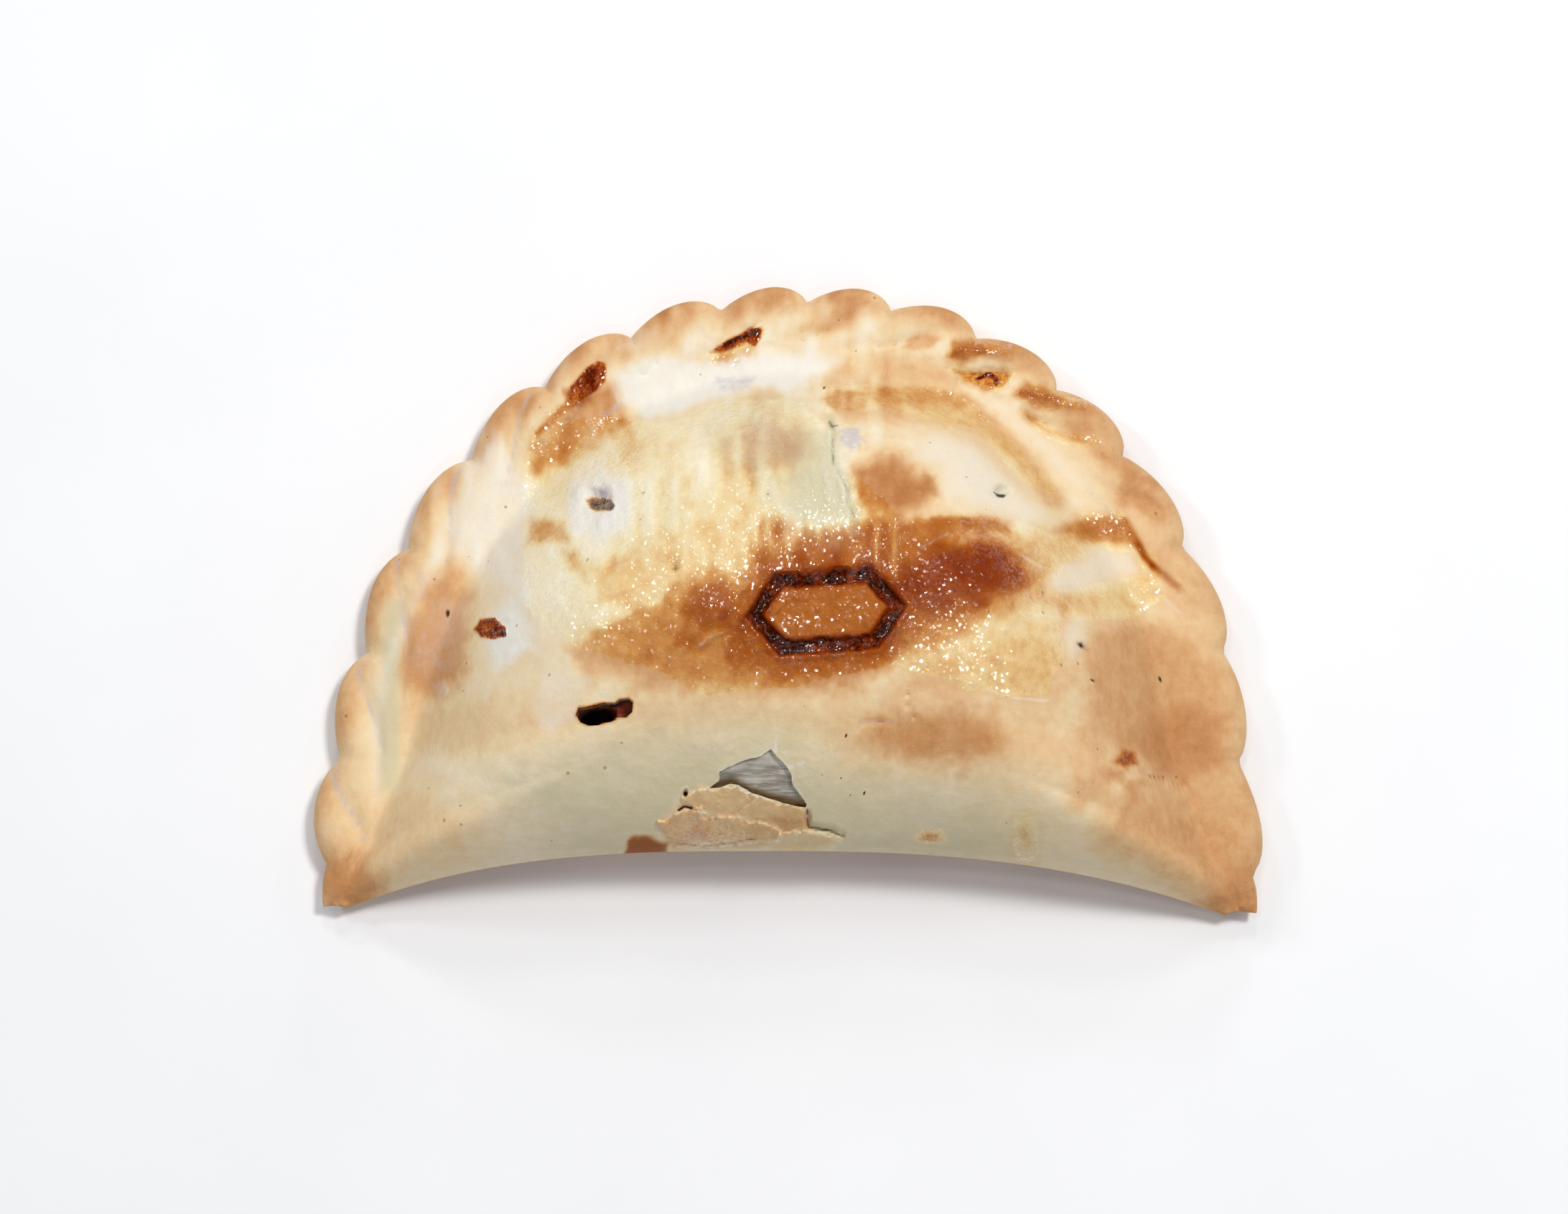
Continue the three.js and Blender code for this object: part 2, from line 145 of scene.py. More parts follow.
def noise(x, y, size, seed, octaves=3):
    """Smooth noise from -1 to 1, with features of about that size."""
    total, reach = 0, 0
    for octave in range(octaves):
        table = np.random.RandomState(seed * 10 + octave).uniform(-1, 1, (64, 64))
        across, up = x / size * 2**octave + 31, y / size * 2**octave + 17
        column, row = np.floor(across).astype(int), np.floor(up).astype(int)
        right, above = ease(across - column), ease(up - row)
        corners = [[table[(column + i) % 64, (row + j) % 64] for i in (0, 1)] for j in (0, 1)]
        low, high = (lerp(pair[0], pair[1], right) for pair in corners)
        total = total + lerp(low, high, above) * 0.5**octave
        reach += 0.5**octave
    return total / reach * 1.4


def oval(u, v, x, y, half_x, half_y, turn=0):
    """How far out of an oval's middle a place is, 1 on its edge."""
    c, s = math.cos(math.radians(turn)), math.sin(math.radians(turn))
    along, aside = (u - x) * c + (v - y) * s, (v - y) * c - (u - x) * s
    return np.hypot(along / half_x, aside / half_y)


def near_points(u, v, points, margin):
    x, y = np.array(points).T
    beside = (u > x.min() - margin) & (u < x.max() + margin)
    return beside & (v > y.min() - margin) & (v < y.max() + margin)


def from_line(u, v, points, margin=8):
    """Distance to a line through points, at most the margin, and the share of the way along."""
    far, way = np.full(np.shape(u), float(margin)), np.zeros(np.shape(u))
    near = near_points(u, v, points, margin)
    a, b = u[near], v[near]
    nearest, share = far[near], way[near]
    for i, ((x0, y0), (x1, y1)) in enumerate(zip(points, points[1:])):
        dx, dy = x1 - x0, y1 - y0
        t = np.clip(((a - x0) * dx + (b - y0) * dy) / (dx * dx + dy * dy), 0, 1)
        distance = np.hypot(a - x0 - t * dx, b - y0 - t * dy)
        closer = distance < nearest
        nearest = np.where(closer, distance, nearest)
        share = np.where(closer, (i + t) / (len(points) - 1), share)
    far[near], way[near] = nearest, share
    return far, way


def inside_depth(u, v, corners, margin=8):
    """Distance inside a closed outline, below 0 outside it."""
    ring = corners + corners[:1]
    distance, _ = from_line(u, v, ring, margin)
    within = np.zeros(np.shape(u), bool)
    for (x0, y0), (x1, y1) in zip(ring, ring[1:]):
        if y0 != y1:
            crosses = (v < y0) != (v < y1)
            within ^= crosses & (u < x0 + (v - y0) / (y1 - y0) * (x1 - x0))
    return np.where(within, distance, -distance)


# ---- Plan and heights ----------------------------------------------------------------------


def valley_radius(pinches):
    """A smooth curve through the valleys' radii."""
    last = len(VALLEY_RADII) - 1
    i = np.clip(np.floor(pinches).astype(int), 0, last - 1)
    t = pinches - i
    p = [VALLEY_RADII[np.clip(i + k, 0, last)] for k in (-1, 0, 1, 2)]
    rise, fall = (p[2] - p[0]) / 2, (p[3] - p[1]) / 2
    cubic = 2 * p[1] - 2 * p[2] + rise + fall
    square = 3 * p[2] - 3 * p[1] - 2 * rise - fall
    return ((cubic * t + square) * t + rise) * t + p[1]


def lobe(pinches):
    depth = lerp(*LOBE_DEPTHS, np.clip(pinches / DEEP_FROM, 0, 1))
    bump = depth * np.sin(np.pi * (pinches % 1) ** LOBE_SKEW) ** LOBE_ROUNDNESS
    return np.where((pinches < 1) | (pinches > LAST_PINCH), 0, bump)


def fold_at(x):
    """The fold's edge at x, and how close x is to the end of its horn."""
    right = x > FOLD_TOP[0]
    end_x = np.where(right, FOLD_RIGHT[0], FOLD_LEFT[0])
    end_y = np.where(right, FOLD_RIGHT[1], FOLD_LEFT[1])
    power = np.where(right, FOLD_RIGHT[2], FOLD_LEFT[2])
    across = np.clip((x - FOLD_TOP[0]) / (end_x - FOLD_TOP[0]), 0, 1)
    return lerp(FOLD_TOP[1], end_y, across**power), across**HORN_TAPER


def seen(x, y, z):
    """Where the camera sees a point, on the plan at the rope's level."""
    off = np.stack([x, y, z], -1) - CAMERA_TARGET
    closer = CAMERA_DISTANCE / (CAMERA_DISTANCE - off @ CAMERA_BACK)
    return off[..., 0] * closer + CAMERA_TARGET[0], off @ CAMERA_UP * closer + CAMERA_TARGET[1]


def place_of(x, y):
    """What heights and looks depend on, for places in the plan without its pinches."""
    dy = y - ROPE_CENTRE_Y
    radius = np.maximum(np.hypot(x, dy), 1e-6)
    angle = np.degrees(np.arctan2(dy, x))
    angle = np.where(angle < -90, angle + 360, angle)
    pinches = np.interp(angle, VALLEY_ANGLES, np.arange(len(VALLEYS)))
    from_horn = np.minimum(pinches, len(VALLEYS) - 1 - pinches)
    fold_y, horn = fold_at(x)
    place = {
        "x": x,
        "y": y,
        "pinches": pinches,
        "from_rope": np.maximum(0, valley_radius(pinches) - radius),
        "rope_width": lerp(HORN_ROPE_WIDTH, ROPE_WIDTH, ease(from_horn / 2)),
        "from_fold": np.maximum(0, y - fold_y),
        "fold_mid": lerp(FOLD_MID, ROPE_MID, horn),
        "belly": lerp(BELLY, HORN_BELLY, horn),
        "fold_under": lerp(FOLD_UNDER, HORN_UNDER, horn),
    }
    push = lobe(pinches) * (1 - ease(place["from_rope"] / place["rope_width"]))
    place["at_x"], place["at_y"] = x + x / radius * push, y + dy / radius * push
    place["top"] = body_height(place)
    place["u"], place["v"] = seen(place["at_x"], place["at_y"], place["top"])
    return place


def unpinched(x, y):
    """The same for places in the real plan, which the pinches have pushed outwards."""
    px, py = x, y
    for _ in range(6):
        place = place_of(px, py)
        px, py = px + x - place["at_x"], py + y - place["at_y"]
    return place_of(px, py)


def plan_of(points):
    """Corners in the real plan for seen points on the smooth top."""
    u, v = np.array(points, float).T
    x, y = u, v
    for _ in range(8):
        place = place_of(x, y)
        x, y = x + u - place["u"], y + v - place["v"]
    return list(zip(x.tolist(), y.tolist()))


def quarter_round(inside, radius, power=2):
    return np.sqrt(np.maximum(0, 1 - (1 - np.clip(inside / radius, 0, 1)) ** power))


def body_height(place, inset=0):
    past = np.maximum(0, place["from_rope"] - place["rope_width"] - inset)
    up = np.clip((np.hypot(past, SHOULDER_FILLET) - SHOULDER_FILLET) / SHOULDER, 0, 1)
    rim = lerp(ROPE_MID, ROPE_TOP, quarter_round(place["from_rope"], ROPE_EDGE))
    full = rim + (CROWN - ROPE_TOP) * (1 - (1 - up) ** SHOULDER_POWER)
    round_over = quarter_round(place["from_fold"] - inset, place["belly"], BELLY_POWER)
    return lerp(place["fold_mid"], full, round_over) - inset


def under_height(place):
    lifted = ROPE_UNDER * (1 - ease((place["from_rope"] - place["rope_width"]) / 3))
    rim = lerp(ROPE_MID, lifted, quarter_round(place["from_rope"], ROPE_EDGE))
    return lerp(place["fold_mid"], rim, quarter_round(place["from_fold"], place["fold_under"]))


def path_points(share, along):
    """Places along the line that a section follows, from the rope to the fold."""
    angle = lerp(VALLEY_ANGLES[0], VALLEY_ANGLES[-1], share)
    pinches = np.interp(angle, VALLEY_ANGLES, np.arange(len(VALLEYS)))
    out = np.array([math.cos(math.radians(angle)), math.sin(math.radians(angle))])
    start = out * valley_radius(pinches) + [0, ROPE_CENTRE_Y]
    fold_x = lerp(FOLD_RIGHT[0], FOLD_LEFT[0], share)
    end = np.array([fold_x, float(fold_at(np.array(fold_x))[0])])
    middle = start - out * np.linalg.norm(end - start) / 2
    t = np.asarray(along)[:, None]
    return (1 - t) ** 2 * start + 2 * t * (1 - t) * middle + t * t * end


def path_length(share):
    start, end = path_points(share, [0, 1])
    return np.linalg.norm(end - start)


# ---- Marks on the crust, in seen millimetres unless said otherwise -------------------------

# The stamp and the vent lie in the real plan, as in the solids.
STAMP_AT = (5.1, 38.5)
STAMP_TURN = 4
STAMP_HALF = (10.5, 5.3)
STAMP_SHOULDER = 0.62
STAMP_STROKE = 1.9
STAMP_DEPTH = 0.8

VENT = [
    (-28.9, 27.3), (-28.5, 28.3), (-27.2, 28.5), (-25.0, 29.1), (-23.6, 29.0), (-22.9, 29.5),
    (-21.7, 29.6), (-21.1, 29.1), (-21.2, 27.8), (-22.0, 27.0), (-23.2, 27.0), (-24.0, 26.5),
    (-25.8, 26.0), (-27.3, 25.9), (-28.3, 26.3),
]
VENT_WELL = (-26.2, 27.3, 2.2, 1.3, 8)
TEAR = [
    (-10.6, 17.3), (-9.3, 18.3), (-9.2, 19.7), (-8.0, 20.2), (-5.0, 21.3), (-3.6, 21.7),
    (-2.2, 22.6), (-1.2, 21.6), (-0.3, 20.5), (0.5, 19.3), (0.9, 17.6), (1.6, 16.6), (2.7, 15.0),
    (2.6, 14.6), (1.2, 14.9), (-0.3, 15.2), (-3.2, 16.1), (-4.8, 16.6), (-6.5, 17.7), (-7.7, 18.0),
    (-9.2, 17.4),
]
TEAR_SILL = [(-10.6, 17.3), (-7.7, 18.0), (-4.8, 16.6), (-0.3, 15.2), (2.6, 14.6)]
PLATE_UPPER_TOP = [
    (-14.6, 16.2), (-13.2, 16.9), (-10.7, 17.2), (-7.7, 17.9), (-4.8, 16.5), (-0.3, 15.1),
    (2.7, 14.6),
]
PLATE_LOWER_TOP = [
    (-17.9, 12.6), (-15.5, 13.6), (-13.2, 14.5), (-11.2, 13.3), (-8.5, 13.4), (-6.3, 13.3),
    (-4.5, 12.6), (-1.5, 12.1), (-0.3, 11.2),
]
LIP_TOP = [(-1.2, 10.9), (1.3, 11.4), (3.0, 11.4), (4.5, 11.2), (5.7, 10.7), (7.2, 10.5)]
TEAR_CRACK = [
    (2.8, 14.4), (2.8, 13.0), (3.0, 12.1), (4.5, 11.8), (6.3, 11.5), (7.2, 11.0), (8.0, 10.8),
]
LEFT_CRACK = [(-14.9, 14.3), (-14.1, 14.8), (-13.0, 14.6)]
LONG_CRACK = [
    (3.2, 73.5), (4.8, 69.0), (5.9, 67.8), (6.4, 66.2), (6.2, 63.8), (6.4, 61.8), (7.3, 60.0),
    (8.2, 58.4), (8.4, 56.4), (9.3, 54.6),
]
SLIT = [(46.3, 54), (47, 52.5), (48, 50.8), (49, 49), (50.2, 47.6), (51.5, 46.5), (53.5, 44.8)]
ARCH = [(18.3, 50.2), (22.5, 52.3), (26, 52.5), (29, 52), (32.5, 49), (35, 47.5)]
RIDGE = [(22, 33), (27, 31), (30, 29.7), (36, 29.2)]
ROPE_DENT = [(32.7, 68.5), (36, 66.2), (41, 64.8), (44.3, 63.8)]
LOW_CRACK = [(-15.5, 9.8), (-11.5, 9.4), (-8, 9.8), (-5.5, 10.3), (-1.5, 10.5)]
PLATE_CRACK = [(-4.6, 15.9), (-5.2, 15.2), (-6, 14.9), (-6.9, 13.8)]
BLISTER_FOLD = [(-12.5, 36.3), (-10.5, 38), (-8, 38.8)]
SHORT_CRACK = [(-25, 68.4), (-22.3, 69.5)]
HAIR_CRACK = [(10, 26.3), (14.5, 26.3)]
STEEP_CRACK = [(40.5, 60), (44, 54.8)]
SIDE_CRACK = [(50.5, 44), (54.2, 41.1)]

# Flakes: outlines that stand up a little.
FLAKE_LEFT = [(-48.4, 31.4), (-47.2, 32.1), (-45.9, 31.2), (-46.2, 29.9), (-47.6, 29.7)]
FLAKE_ARC = [(7.2, 66.6), (9.8, 66.9), (10.6, 65.0), (9.4, 63.4), (7.4, 64.2)]

# Edges of loose crust: the raised edge, a corner further in, how high it stands, how far it falls.
PLATES = [
    (PLATE_UPPER_TOP, [(2.7, 12.5), (-6.0, 13.5), (-14.5, 14.7)], 0.55, 2.2),
    (PLATE_LOWER_TOP, [(-1.2, 9.7), (-6.0, 9.6), (-10.0, 9.2), (-15.5, 9.4)], 0.9, 2.4),
    (LIP_TOP, [(8.0, 9.4), (2.0, 8.6), (-2.0, 9.0)], 0.6, 1.6),
    (LONG_CRACK, [(2.0, 52.0), (-4.0, 58.0), (-4.0, 72.0)], 0.4, 2.2),
    ([(-12.7, 14.6), (-12.0, 13.6), (-10.5, 13.2), (-10.9, 14.0), (-11.9, 14.8)], [], 0.5, 9),
    (FLAKE_LEFT, [], 0.4, 9),
    ([(-3.4, 73.6), (-9.6, 73.7), (-10.2, 72.4), (-6.0, 71.4), (-4.2, 71.5)], [], 0.22, 9),
    (FLAKE_ARC, [], 0.3, 9),
]

# Set juice that has boiled out, and a deep pit above the blister.
LEAK_A = [
    (-24.8, 75.5), (-25.9, 75.9), (-27.3, 74.9), (-28.4, 73.5), (-29.5, 72.3), (-30.1, 70.8),
    (-29.2, 69.8), (-27.5, 70.8), (-26.0, 71.8), (-25.0, 73.0), (-24.7, 74.2),
]
LEAK_B = [
    (-10.6, 76.9), (-9.8, 77.8), (-7.5, 79.0), (-6.0, 79.7), (-5.0, 80.5), (-3.3, 80.3),
    (-3.6, 79.0), (-4.3, 77.8), (-5.5, 78.3), (-7.2, 77.6), (-8.8, 76.9),
]
LEAK_C = [
    (22.8, 74.6), (24.5, 74.2), (27.5, 74.8), (30.8, 73.9), (30.0, 72.7), (28.5, 71.7),
    (26.8, 71.4), (24.5, 73.0),
]
SCAB = [
    (-42.9, 39.0), (-42.0, 40.5), (-40.0, 40.6), (-38.4, 39.3), (-38.2, 38.0), (-40.0, 37.6),
    (-42.0, 37.9),
]
POKE = [
    (-27.8, 56.9), (-26.8, 57.6), (-25.5, 57.3), (-24.2, 57.0), (-23.8, 56.1), (-24.4, 55.3),
    (-25.8, 55.0), (-27.0, 55.6),
]
LEAKS = [(LEAK_A, 0.55), (LEAK_B, 0.45), (LEAK_C, 0.25), (SCAB, 0.5)]  # outline, height

# Ovals: middle, half length, half width and turn.
SCAB_DENT = (-40.9, 39.1, 0.9, 0.7)
BLISTER = (-10.2, 42, 4.2, 3.4, 20)

# Creases, and below 0 ridges: line, half width, depth.
CREASES = [
    (LONG_CRACK, 0.25, 0.5), (SLIT, 0.35, 0.55), (TEAR_CRACK, 0.36, 1.5), (LEFT_CRACK, 0.2, 0.8),
    ([(12.3, 53.2), (12.2, 48)], 0.35, 0.4), ([(14.8, 54.2), (14.7, 47)], 0.35, 0.45),
    ([(-1.8, 53), (-1, 49.5)], 0.5, -0.25), ([(-0.3, 52.5), (0, 50)], 0.4, -0.2), (ARCH, 0.3, 0.3),
    (SHORT_CRACK, 0.2, 0.35), (HAIR_CRACK, 0.15, 0.25), (ROPE_DENT, 0.7, 0.45),
    ([(56.5, 10), (56.5, 13.3)], 0.2, 0.25),
    ([(47.3, 19.7), (50, 18.9), (52.5, 18.7), (55.7, 17.1)], 0.3, 0.5), (BLISTER_FOLD, 0.35, -0.3),
    (STEEP_CRACK, 0.3, 0.25), (RIDGE, 0.25, -0.1), (LOW_CRACK, 0.2, 0.5), (PLATE_CRACK, 0.15, 0.3),
    ([(22.7, 77.2), (26.5, 77.3), (31, 76.9)], 1.1, -0.8),
    ([(32, 71.7), (36, 70.9), (41, 69.6)], 1.2, -0.8),
    ([(23.4, 74.2), (27, 73.1), (30.5, 73.6)], 1.4, 0.75),
    ([(43, 63.3), (47, 60.4), (50.5, 59)], 1.0, -0.3),
    ([(0, 83.5), (-1, 82.3), (-2, 80.8)], 0.25, 0.3), ([(1.2, 83), (0.2, 81)], 0.2, 0.2),
    ([(11.5, 84), (10.4, 82), (9, 80.5)], 0.25, 0.3), ([(12.6, 83.4), (11.2, 80.6)], 0.2, 0.2),
    ([(44.3, 57.6), (47.5, 57.5), (50, 56.2), (51.8, 54)], 0.7, 0.7), (SIDE_CRACK, 0.3, 0.15),
    ([(5.4, 70), (4.3, 68)], 0.2, 0.3), ([(27.5, 45), (30.5, 42.5)], 0.3, -0.1),
]

# Craters: middle, half length, half width, turn, depth.
CRATERS = [
    (-25.8, 57, 1.9, 1.8, 0, 1.5), (29.4, 58.0, 1.3, 1.0, 0, 1.3), (40.7, 36.6, 1.1, 0.7, -28, 1.1),
    (-15.3, 47.5, 0.9, 0.7, -40, 1.1), (16.5, 30, 0.5, 0.4, 0, 0.4), (16.5, 28.6, 0.5, 0.4, 0, 0.4),
    (17.4, 27, 0.6, 0.5, 0, 0.4), (-13.9, 16.6, 0.35, 0.6, 0, 1.3), (6.2, 67.1, 1.1, 0.4, 0, 0.7),
]
STRAND_HEIGHTS = [(2.2, 0.5), (5, 0.8), (7.5, 1.2), (12, 1.15), (18, 0.9)]  # by pinch


def twist_share(place):
    """How far a place is across its strand, and 0 in the strands' smooth ends."""
    sheer = np.clip(place["from_rope"] / CREASE_INSET, 0, 1)
    strand = place["pinches"] - CREASE_SPAN * (1 - np.sqrt(1 - sheer))
    inner = ease((place["from_rope"] - CREASE_INSET + CREASE_FADE / 2) / CREASE_FADE)
    fade = ease(place["from_rope"] / STRAND_EDGE) * (1 - inner)
    fade = fade * ease((place["pinches"] - SMOOTH_TO) / SMOOTH_FADE)
    fade = fade * ease(place["rope_width"] / ROPE_WIDTH)
    return strand % 1, np.where((strand < 1) | (place["pinches"] > LAST_PINCH), 0, fade)


def twist_relief(place):
    """Rounded strands between sharp creases."""
    share, fade = twist_share(place)
    height = np.interp(place["pinches"], *zip(*STRAND_HEIGHTS))
    return height * fade * (np.sin(np.pi * share) ** STRAND_ROUNDNESS - STRAND_LEVEL)


def stretch_marks(place):
    """Faint wrinkles where the thumb has pressed the pinches at the top."""
    share, across = place["pinches"] % 1, place["from_rope"]
    window = ease(share / 0.12) * (1 - ease((share - 0.3) / 0.4)) * ease((place["pinches"] - 5) / 2)
    window = window * ease((across - 0.8) / 2) * (1 - ease((across - 4) / 5))
    u, v = place["u"], place["v"]
    window = window * ease(noise(u, v, 4, 4, 2) + 0.4)
    return 0.14 * window * np.sin(2 * np.pi * (place["pinches"] * 9 + 1.1 * noise(u, v, 4, 3, 2)))


def swell_relief(place):
    total = 0
    for x, y, radius, height in SWELLS:
        total = total + height * np.exp(-((place["x"] - x) ** 2 + (place["y"] - y) ** 2) / radius**2)
    return total * ease(place["from_fold"] / 6)


def hexagon_depth(x, y):
    """Distance inside the stamp's outline."""
    c, s = math.cos(math.radians(STAMP_TURN)), math.sin(math.radians(STAMP_TURN))
    dx, dy = x - STAMP_AT[0], y - STAMP_AT[1]
    along, aside = np.abs(dx * c + dy * s), np.abs(dy * c - dx * s)
    half, high = STAMP_HALF
    slope = np.array([high, half * (1 - STAMP_SHOULDER)])
    slope = slope / np.linalg.norm(slope)
    return np.minimum(high - aside, (half - along) * slope[0] - aside * slope[1])


def stamp_groove(place):
    """1 in the middle of the pressed frame, 0 at its sides and beyond."""
    x, y = place["x"], place["y"]
    ragged = 0.2 * noise(x, y, 1.3, 21, 2)
    from_middle = np.abs(hexagon_depth(x, y) - STAMP_STROKE / 2) + ragged
    return 1 - ease((from_middle - STAMP_STROKE * 0.3) / (STAMP_STROKE * 0.33))


def stamp_relief(place):
    groove = stamp_groove(place)
    rough = 1 + 0.35 * noise(place["x"], place["y"], 0.7, 5, 2)
    lip = np.exp(-(((hexagon_depth(place["x"], place["y"]) + 0.45) / 0.4) ** 2))
    return 0.25 * lip - STAMP_DEPTH * groove * rough


def crease_relief(u, v):
    relief = np.zeros(np.shape(u))
    ragged = noise(u, v, 0.9, 6, 2)
    for line, half, depth in CREASES:
        distance, share = from_line(u, v, line)
        ends = np.sqrt(np.clip(1 - (2 * share - 1) ** 6, 0, 1))
        relief -= depth * ends * np.exp(-(((distance + half * 0.35 * ragged) / half) ** 2))
    return relief


def crater_relief(u, v):
    relief = np.zeros(np.shape(u))
    ragged = 0.15 * noise(u, v, 1.1, 7, 2)
    for x, y, half_x, half_y, turn, depth in CRATERS:
        out = oval(u, v, x, y, half_x, half_y, turn) + ragged
        relief -= depth * (1 - ease((out - 0.2) / 0.95))
        relief += 0.12 * np.exp(-(((out - 1.4) / 0.35) ** 2))
    return relief


def leak_relief(u, v):
    """Set juice, bubbled like caramel, and the blister left of the stamp."""
    relief = np.zeros(np.shape(u))
    bubbles = noise(u, v, 0.55, 8, 2)
    for corners, rise in LEAKS:
        inside = ease((inside_depth(u, v, corners, 2) + 0.2 * bubbles) / 0.7)
        relief += rise * inside * (0.8 + 0.55 * bubbles)
    dent = 1 - ease(oval(u, v, *SCAB_DENT))
    blister = 1 - ease(oval(u, v, *BLISTER) * 0.8)
    return relief - 0.6 * dent + blister * (0.3 + 0.22 * noise(u, v, 1.1, 15, 2))


def plate_relief(u, v):
    """Loose plates of crust, raised along one edge."""
    relief = np.zeros(np.shape(u))
    ragged = 0.35 * noise(u, v, 1.1, 31, 3) + 0.15 * noise(u, v, 0.45, 32, 1)
    for edge, further, rise, fall in PLATES:
        inside = ease((inside_depth(u, v, edge + further, 2) + ragged) / 0.3)
        distance, _ = from_line(u, v, edge)
        relief += rise * inside * np.exp(-distance / fall) * (1 + ragged)
    return relief


def wash_wrinkles(u, v):
    """Brush marks of the egg wash, and long wet wrinkles left of the long crack."""
    brushed = ease((v - 44) / 6) * (1 - ease((u - 12) / 8))
    streaked = ease((u + 8) / 5) * (1 - ease((u - 8) / 1.5))
    streaked = streaked * ease((v - 49) / 4) * (1 - ease((v - 58) / 5))
    wrinkles = 0.2 * noise(u, v * 0.35, 1.7, 43, 2) * brushed
    return wrinkles + 0.22 * noise(u + 0.15 * v, v * 0.22, 1.1, 47, 2) * streaked


def skin_relief(place):
    """The uneven skin: slow waves, wrinkles and pinhead blisters."""
    u, v = place["u"], place["v"]
    inner = ease((place["from_rope"] - 3) / 6) * ease(place["from_fold"] / 5)
    waves = 0.3 * noise(u, v, 13, 41, 2) + 0.1 * noise(u, v, 4, 42, 2)
    blisters = 0.2 * ease(noise(u, v, 1.4, 45, 2) * 2 - 0.6) * ease((v - 30) / 6)
    grain = 0.035 * noise(u, v, 0.9, 44, 2)
    crumbs = 0.4 * noise(u, v, 1.1, 46, 2) * ease((np.abs(u) - 57) / 4) * (1 - ease((v - 1) / 4))
    return (waves + wash_wrinkles(u, v) + blisters) * inner + grain + crumbs


def top_height(place):
    u, v = place["u"], place["v"]
    marks = stamp_relief(place) + crease_relief(u, v) + crater_relief(u, v) + leak_relief(u, v)
    relief = twist_relief(place) + stretch_marks(place) + swell_relief(place) + skin_relief(place)
    return place["top"] + relief + (marks + plate_relief(u, v)) * ease(place["from_rope"] / 1.5)


def base_height(place):
    """The baked side: flat on the tray, with faint pits where bubbles were."""
    pits = noise(place["x"], place["y"], 2.5, 51, 3)
    inner = ease((place["from_rope"] - 8) / 4) * ease((place["from_fold"] - place["fold_under"]) / 3)
    return under_height(place) + 0.25 * inner * np.clip(pits - 0.25, 0, 1)


# ---- Meshes --------------------------------------------------------------------------------

RINGS = 310
FINE_RINGS = (0.33, 0.67, 0.6)  # from, to and how much closer the rings are
ROPE_STEPS = 22
DOME_STEPS = 108
ROUND_STEPS = 14
BASE_STEPS = 26
ROOM_STEPS, ROOM_CUTS = 16, 48
FILLING_STEPS, FILLING_CUTS = 120, 200
SHARP_ANGLE = math.radians(55)

# Seen boxes that get finer faces, twice where they overlap.
FINE = [
    (-18, 8.5, 9, 23.5), (-15.5, 12.6, 4, 22.8), (-7, 33, 17, 46), (-31, 65, -24, 77),
    (-11.5, 75.5, -2, 81.5), (21.5, 70.5, 32, 79), (31, 68, 43, 73.5), (-44, 36.5, -37, 41.5),
    (-29.5, 53.5, -22.5, 59), (-30, 25, -20, 30.5), (45, 44, 54, 55), (2, 54, 11, 74),
    (-11, 70.5, -3, 74.5), (27, 56, 32, 60.5), (-65, -1, -57, 4), (59, -1, 66, 4),
]


def spaced(count, weight):
    """Shares from 0 to 1, closer together where the weight is high."""
    fine = np.linspace(0, 1, 4001)
    total = np.concatenate([[0], np.cumsum(weight((fine[1:] + fine[:-1]) / 2))])
    return np.interp(np.linspace(0, total[-1], count), total, fine)


def loft(rings):
    """A closed mesh through rings of points, with a fan over each end."""
    count, around = rings.shape[:2]
    hubs = rings[[0, -1]].mean(1)
    points = np.concatenate([rings.reshape(-1, 3), hubs])
    here = np.arange(count - 1)[:, None] * around + np.arange(around)[None, :]
    beside = np.arange(count - 1)[:, None] * around + (np.arange(around)[None, :] + 1) % around
    quads = np.stack([here, here + around, beside + around, beside], -1).reshape(-1, 4)
    k = np.arange(around)
    last, first_hub = (count - 1) * around, count * around
    near = np.stack([np.full(around, first_hub), k, (k + 1) % around], -1)
    far = np.stack([np.full(around, first_hub + 1), last + (k + 1) % around, last + k], -1)
    return points, quads.tolist() + near.tolist() + far.tolist()


def add_object(name, data):
    thing = bpy.data.objects.new(name, data)
    bpy.context.scene.collection.objects.link(thing)
    return thing


def mesh_object(name, points, faces):
    mesh = bpy.data.meshes.new(name)
    mesh.from_pydata(points, [], faces)
    mesh.validate()
    return add_object(name, mesh)


def vertex_places(piece):
    co = np.empty(len(piece.data.vertices) * 3, np.float32)
    piece.data.vertices.foreach_get("co", co)
    return co.reshape(-1, 3).astype(float).T


def ring_weight(share):
    """How close together the rings are."""
    low, high, extra = FINE_RINGS
    return 1 + extra * ease((share - low + 0.05) / 0.05) * ease((high + 0.05 - share) / 0.05)


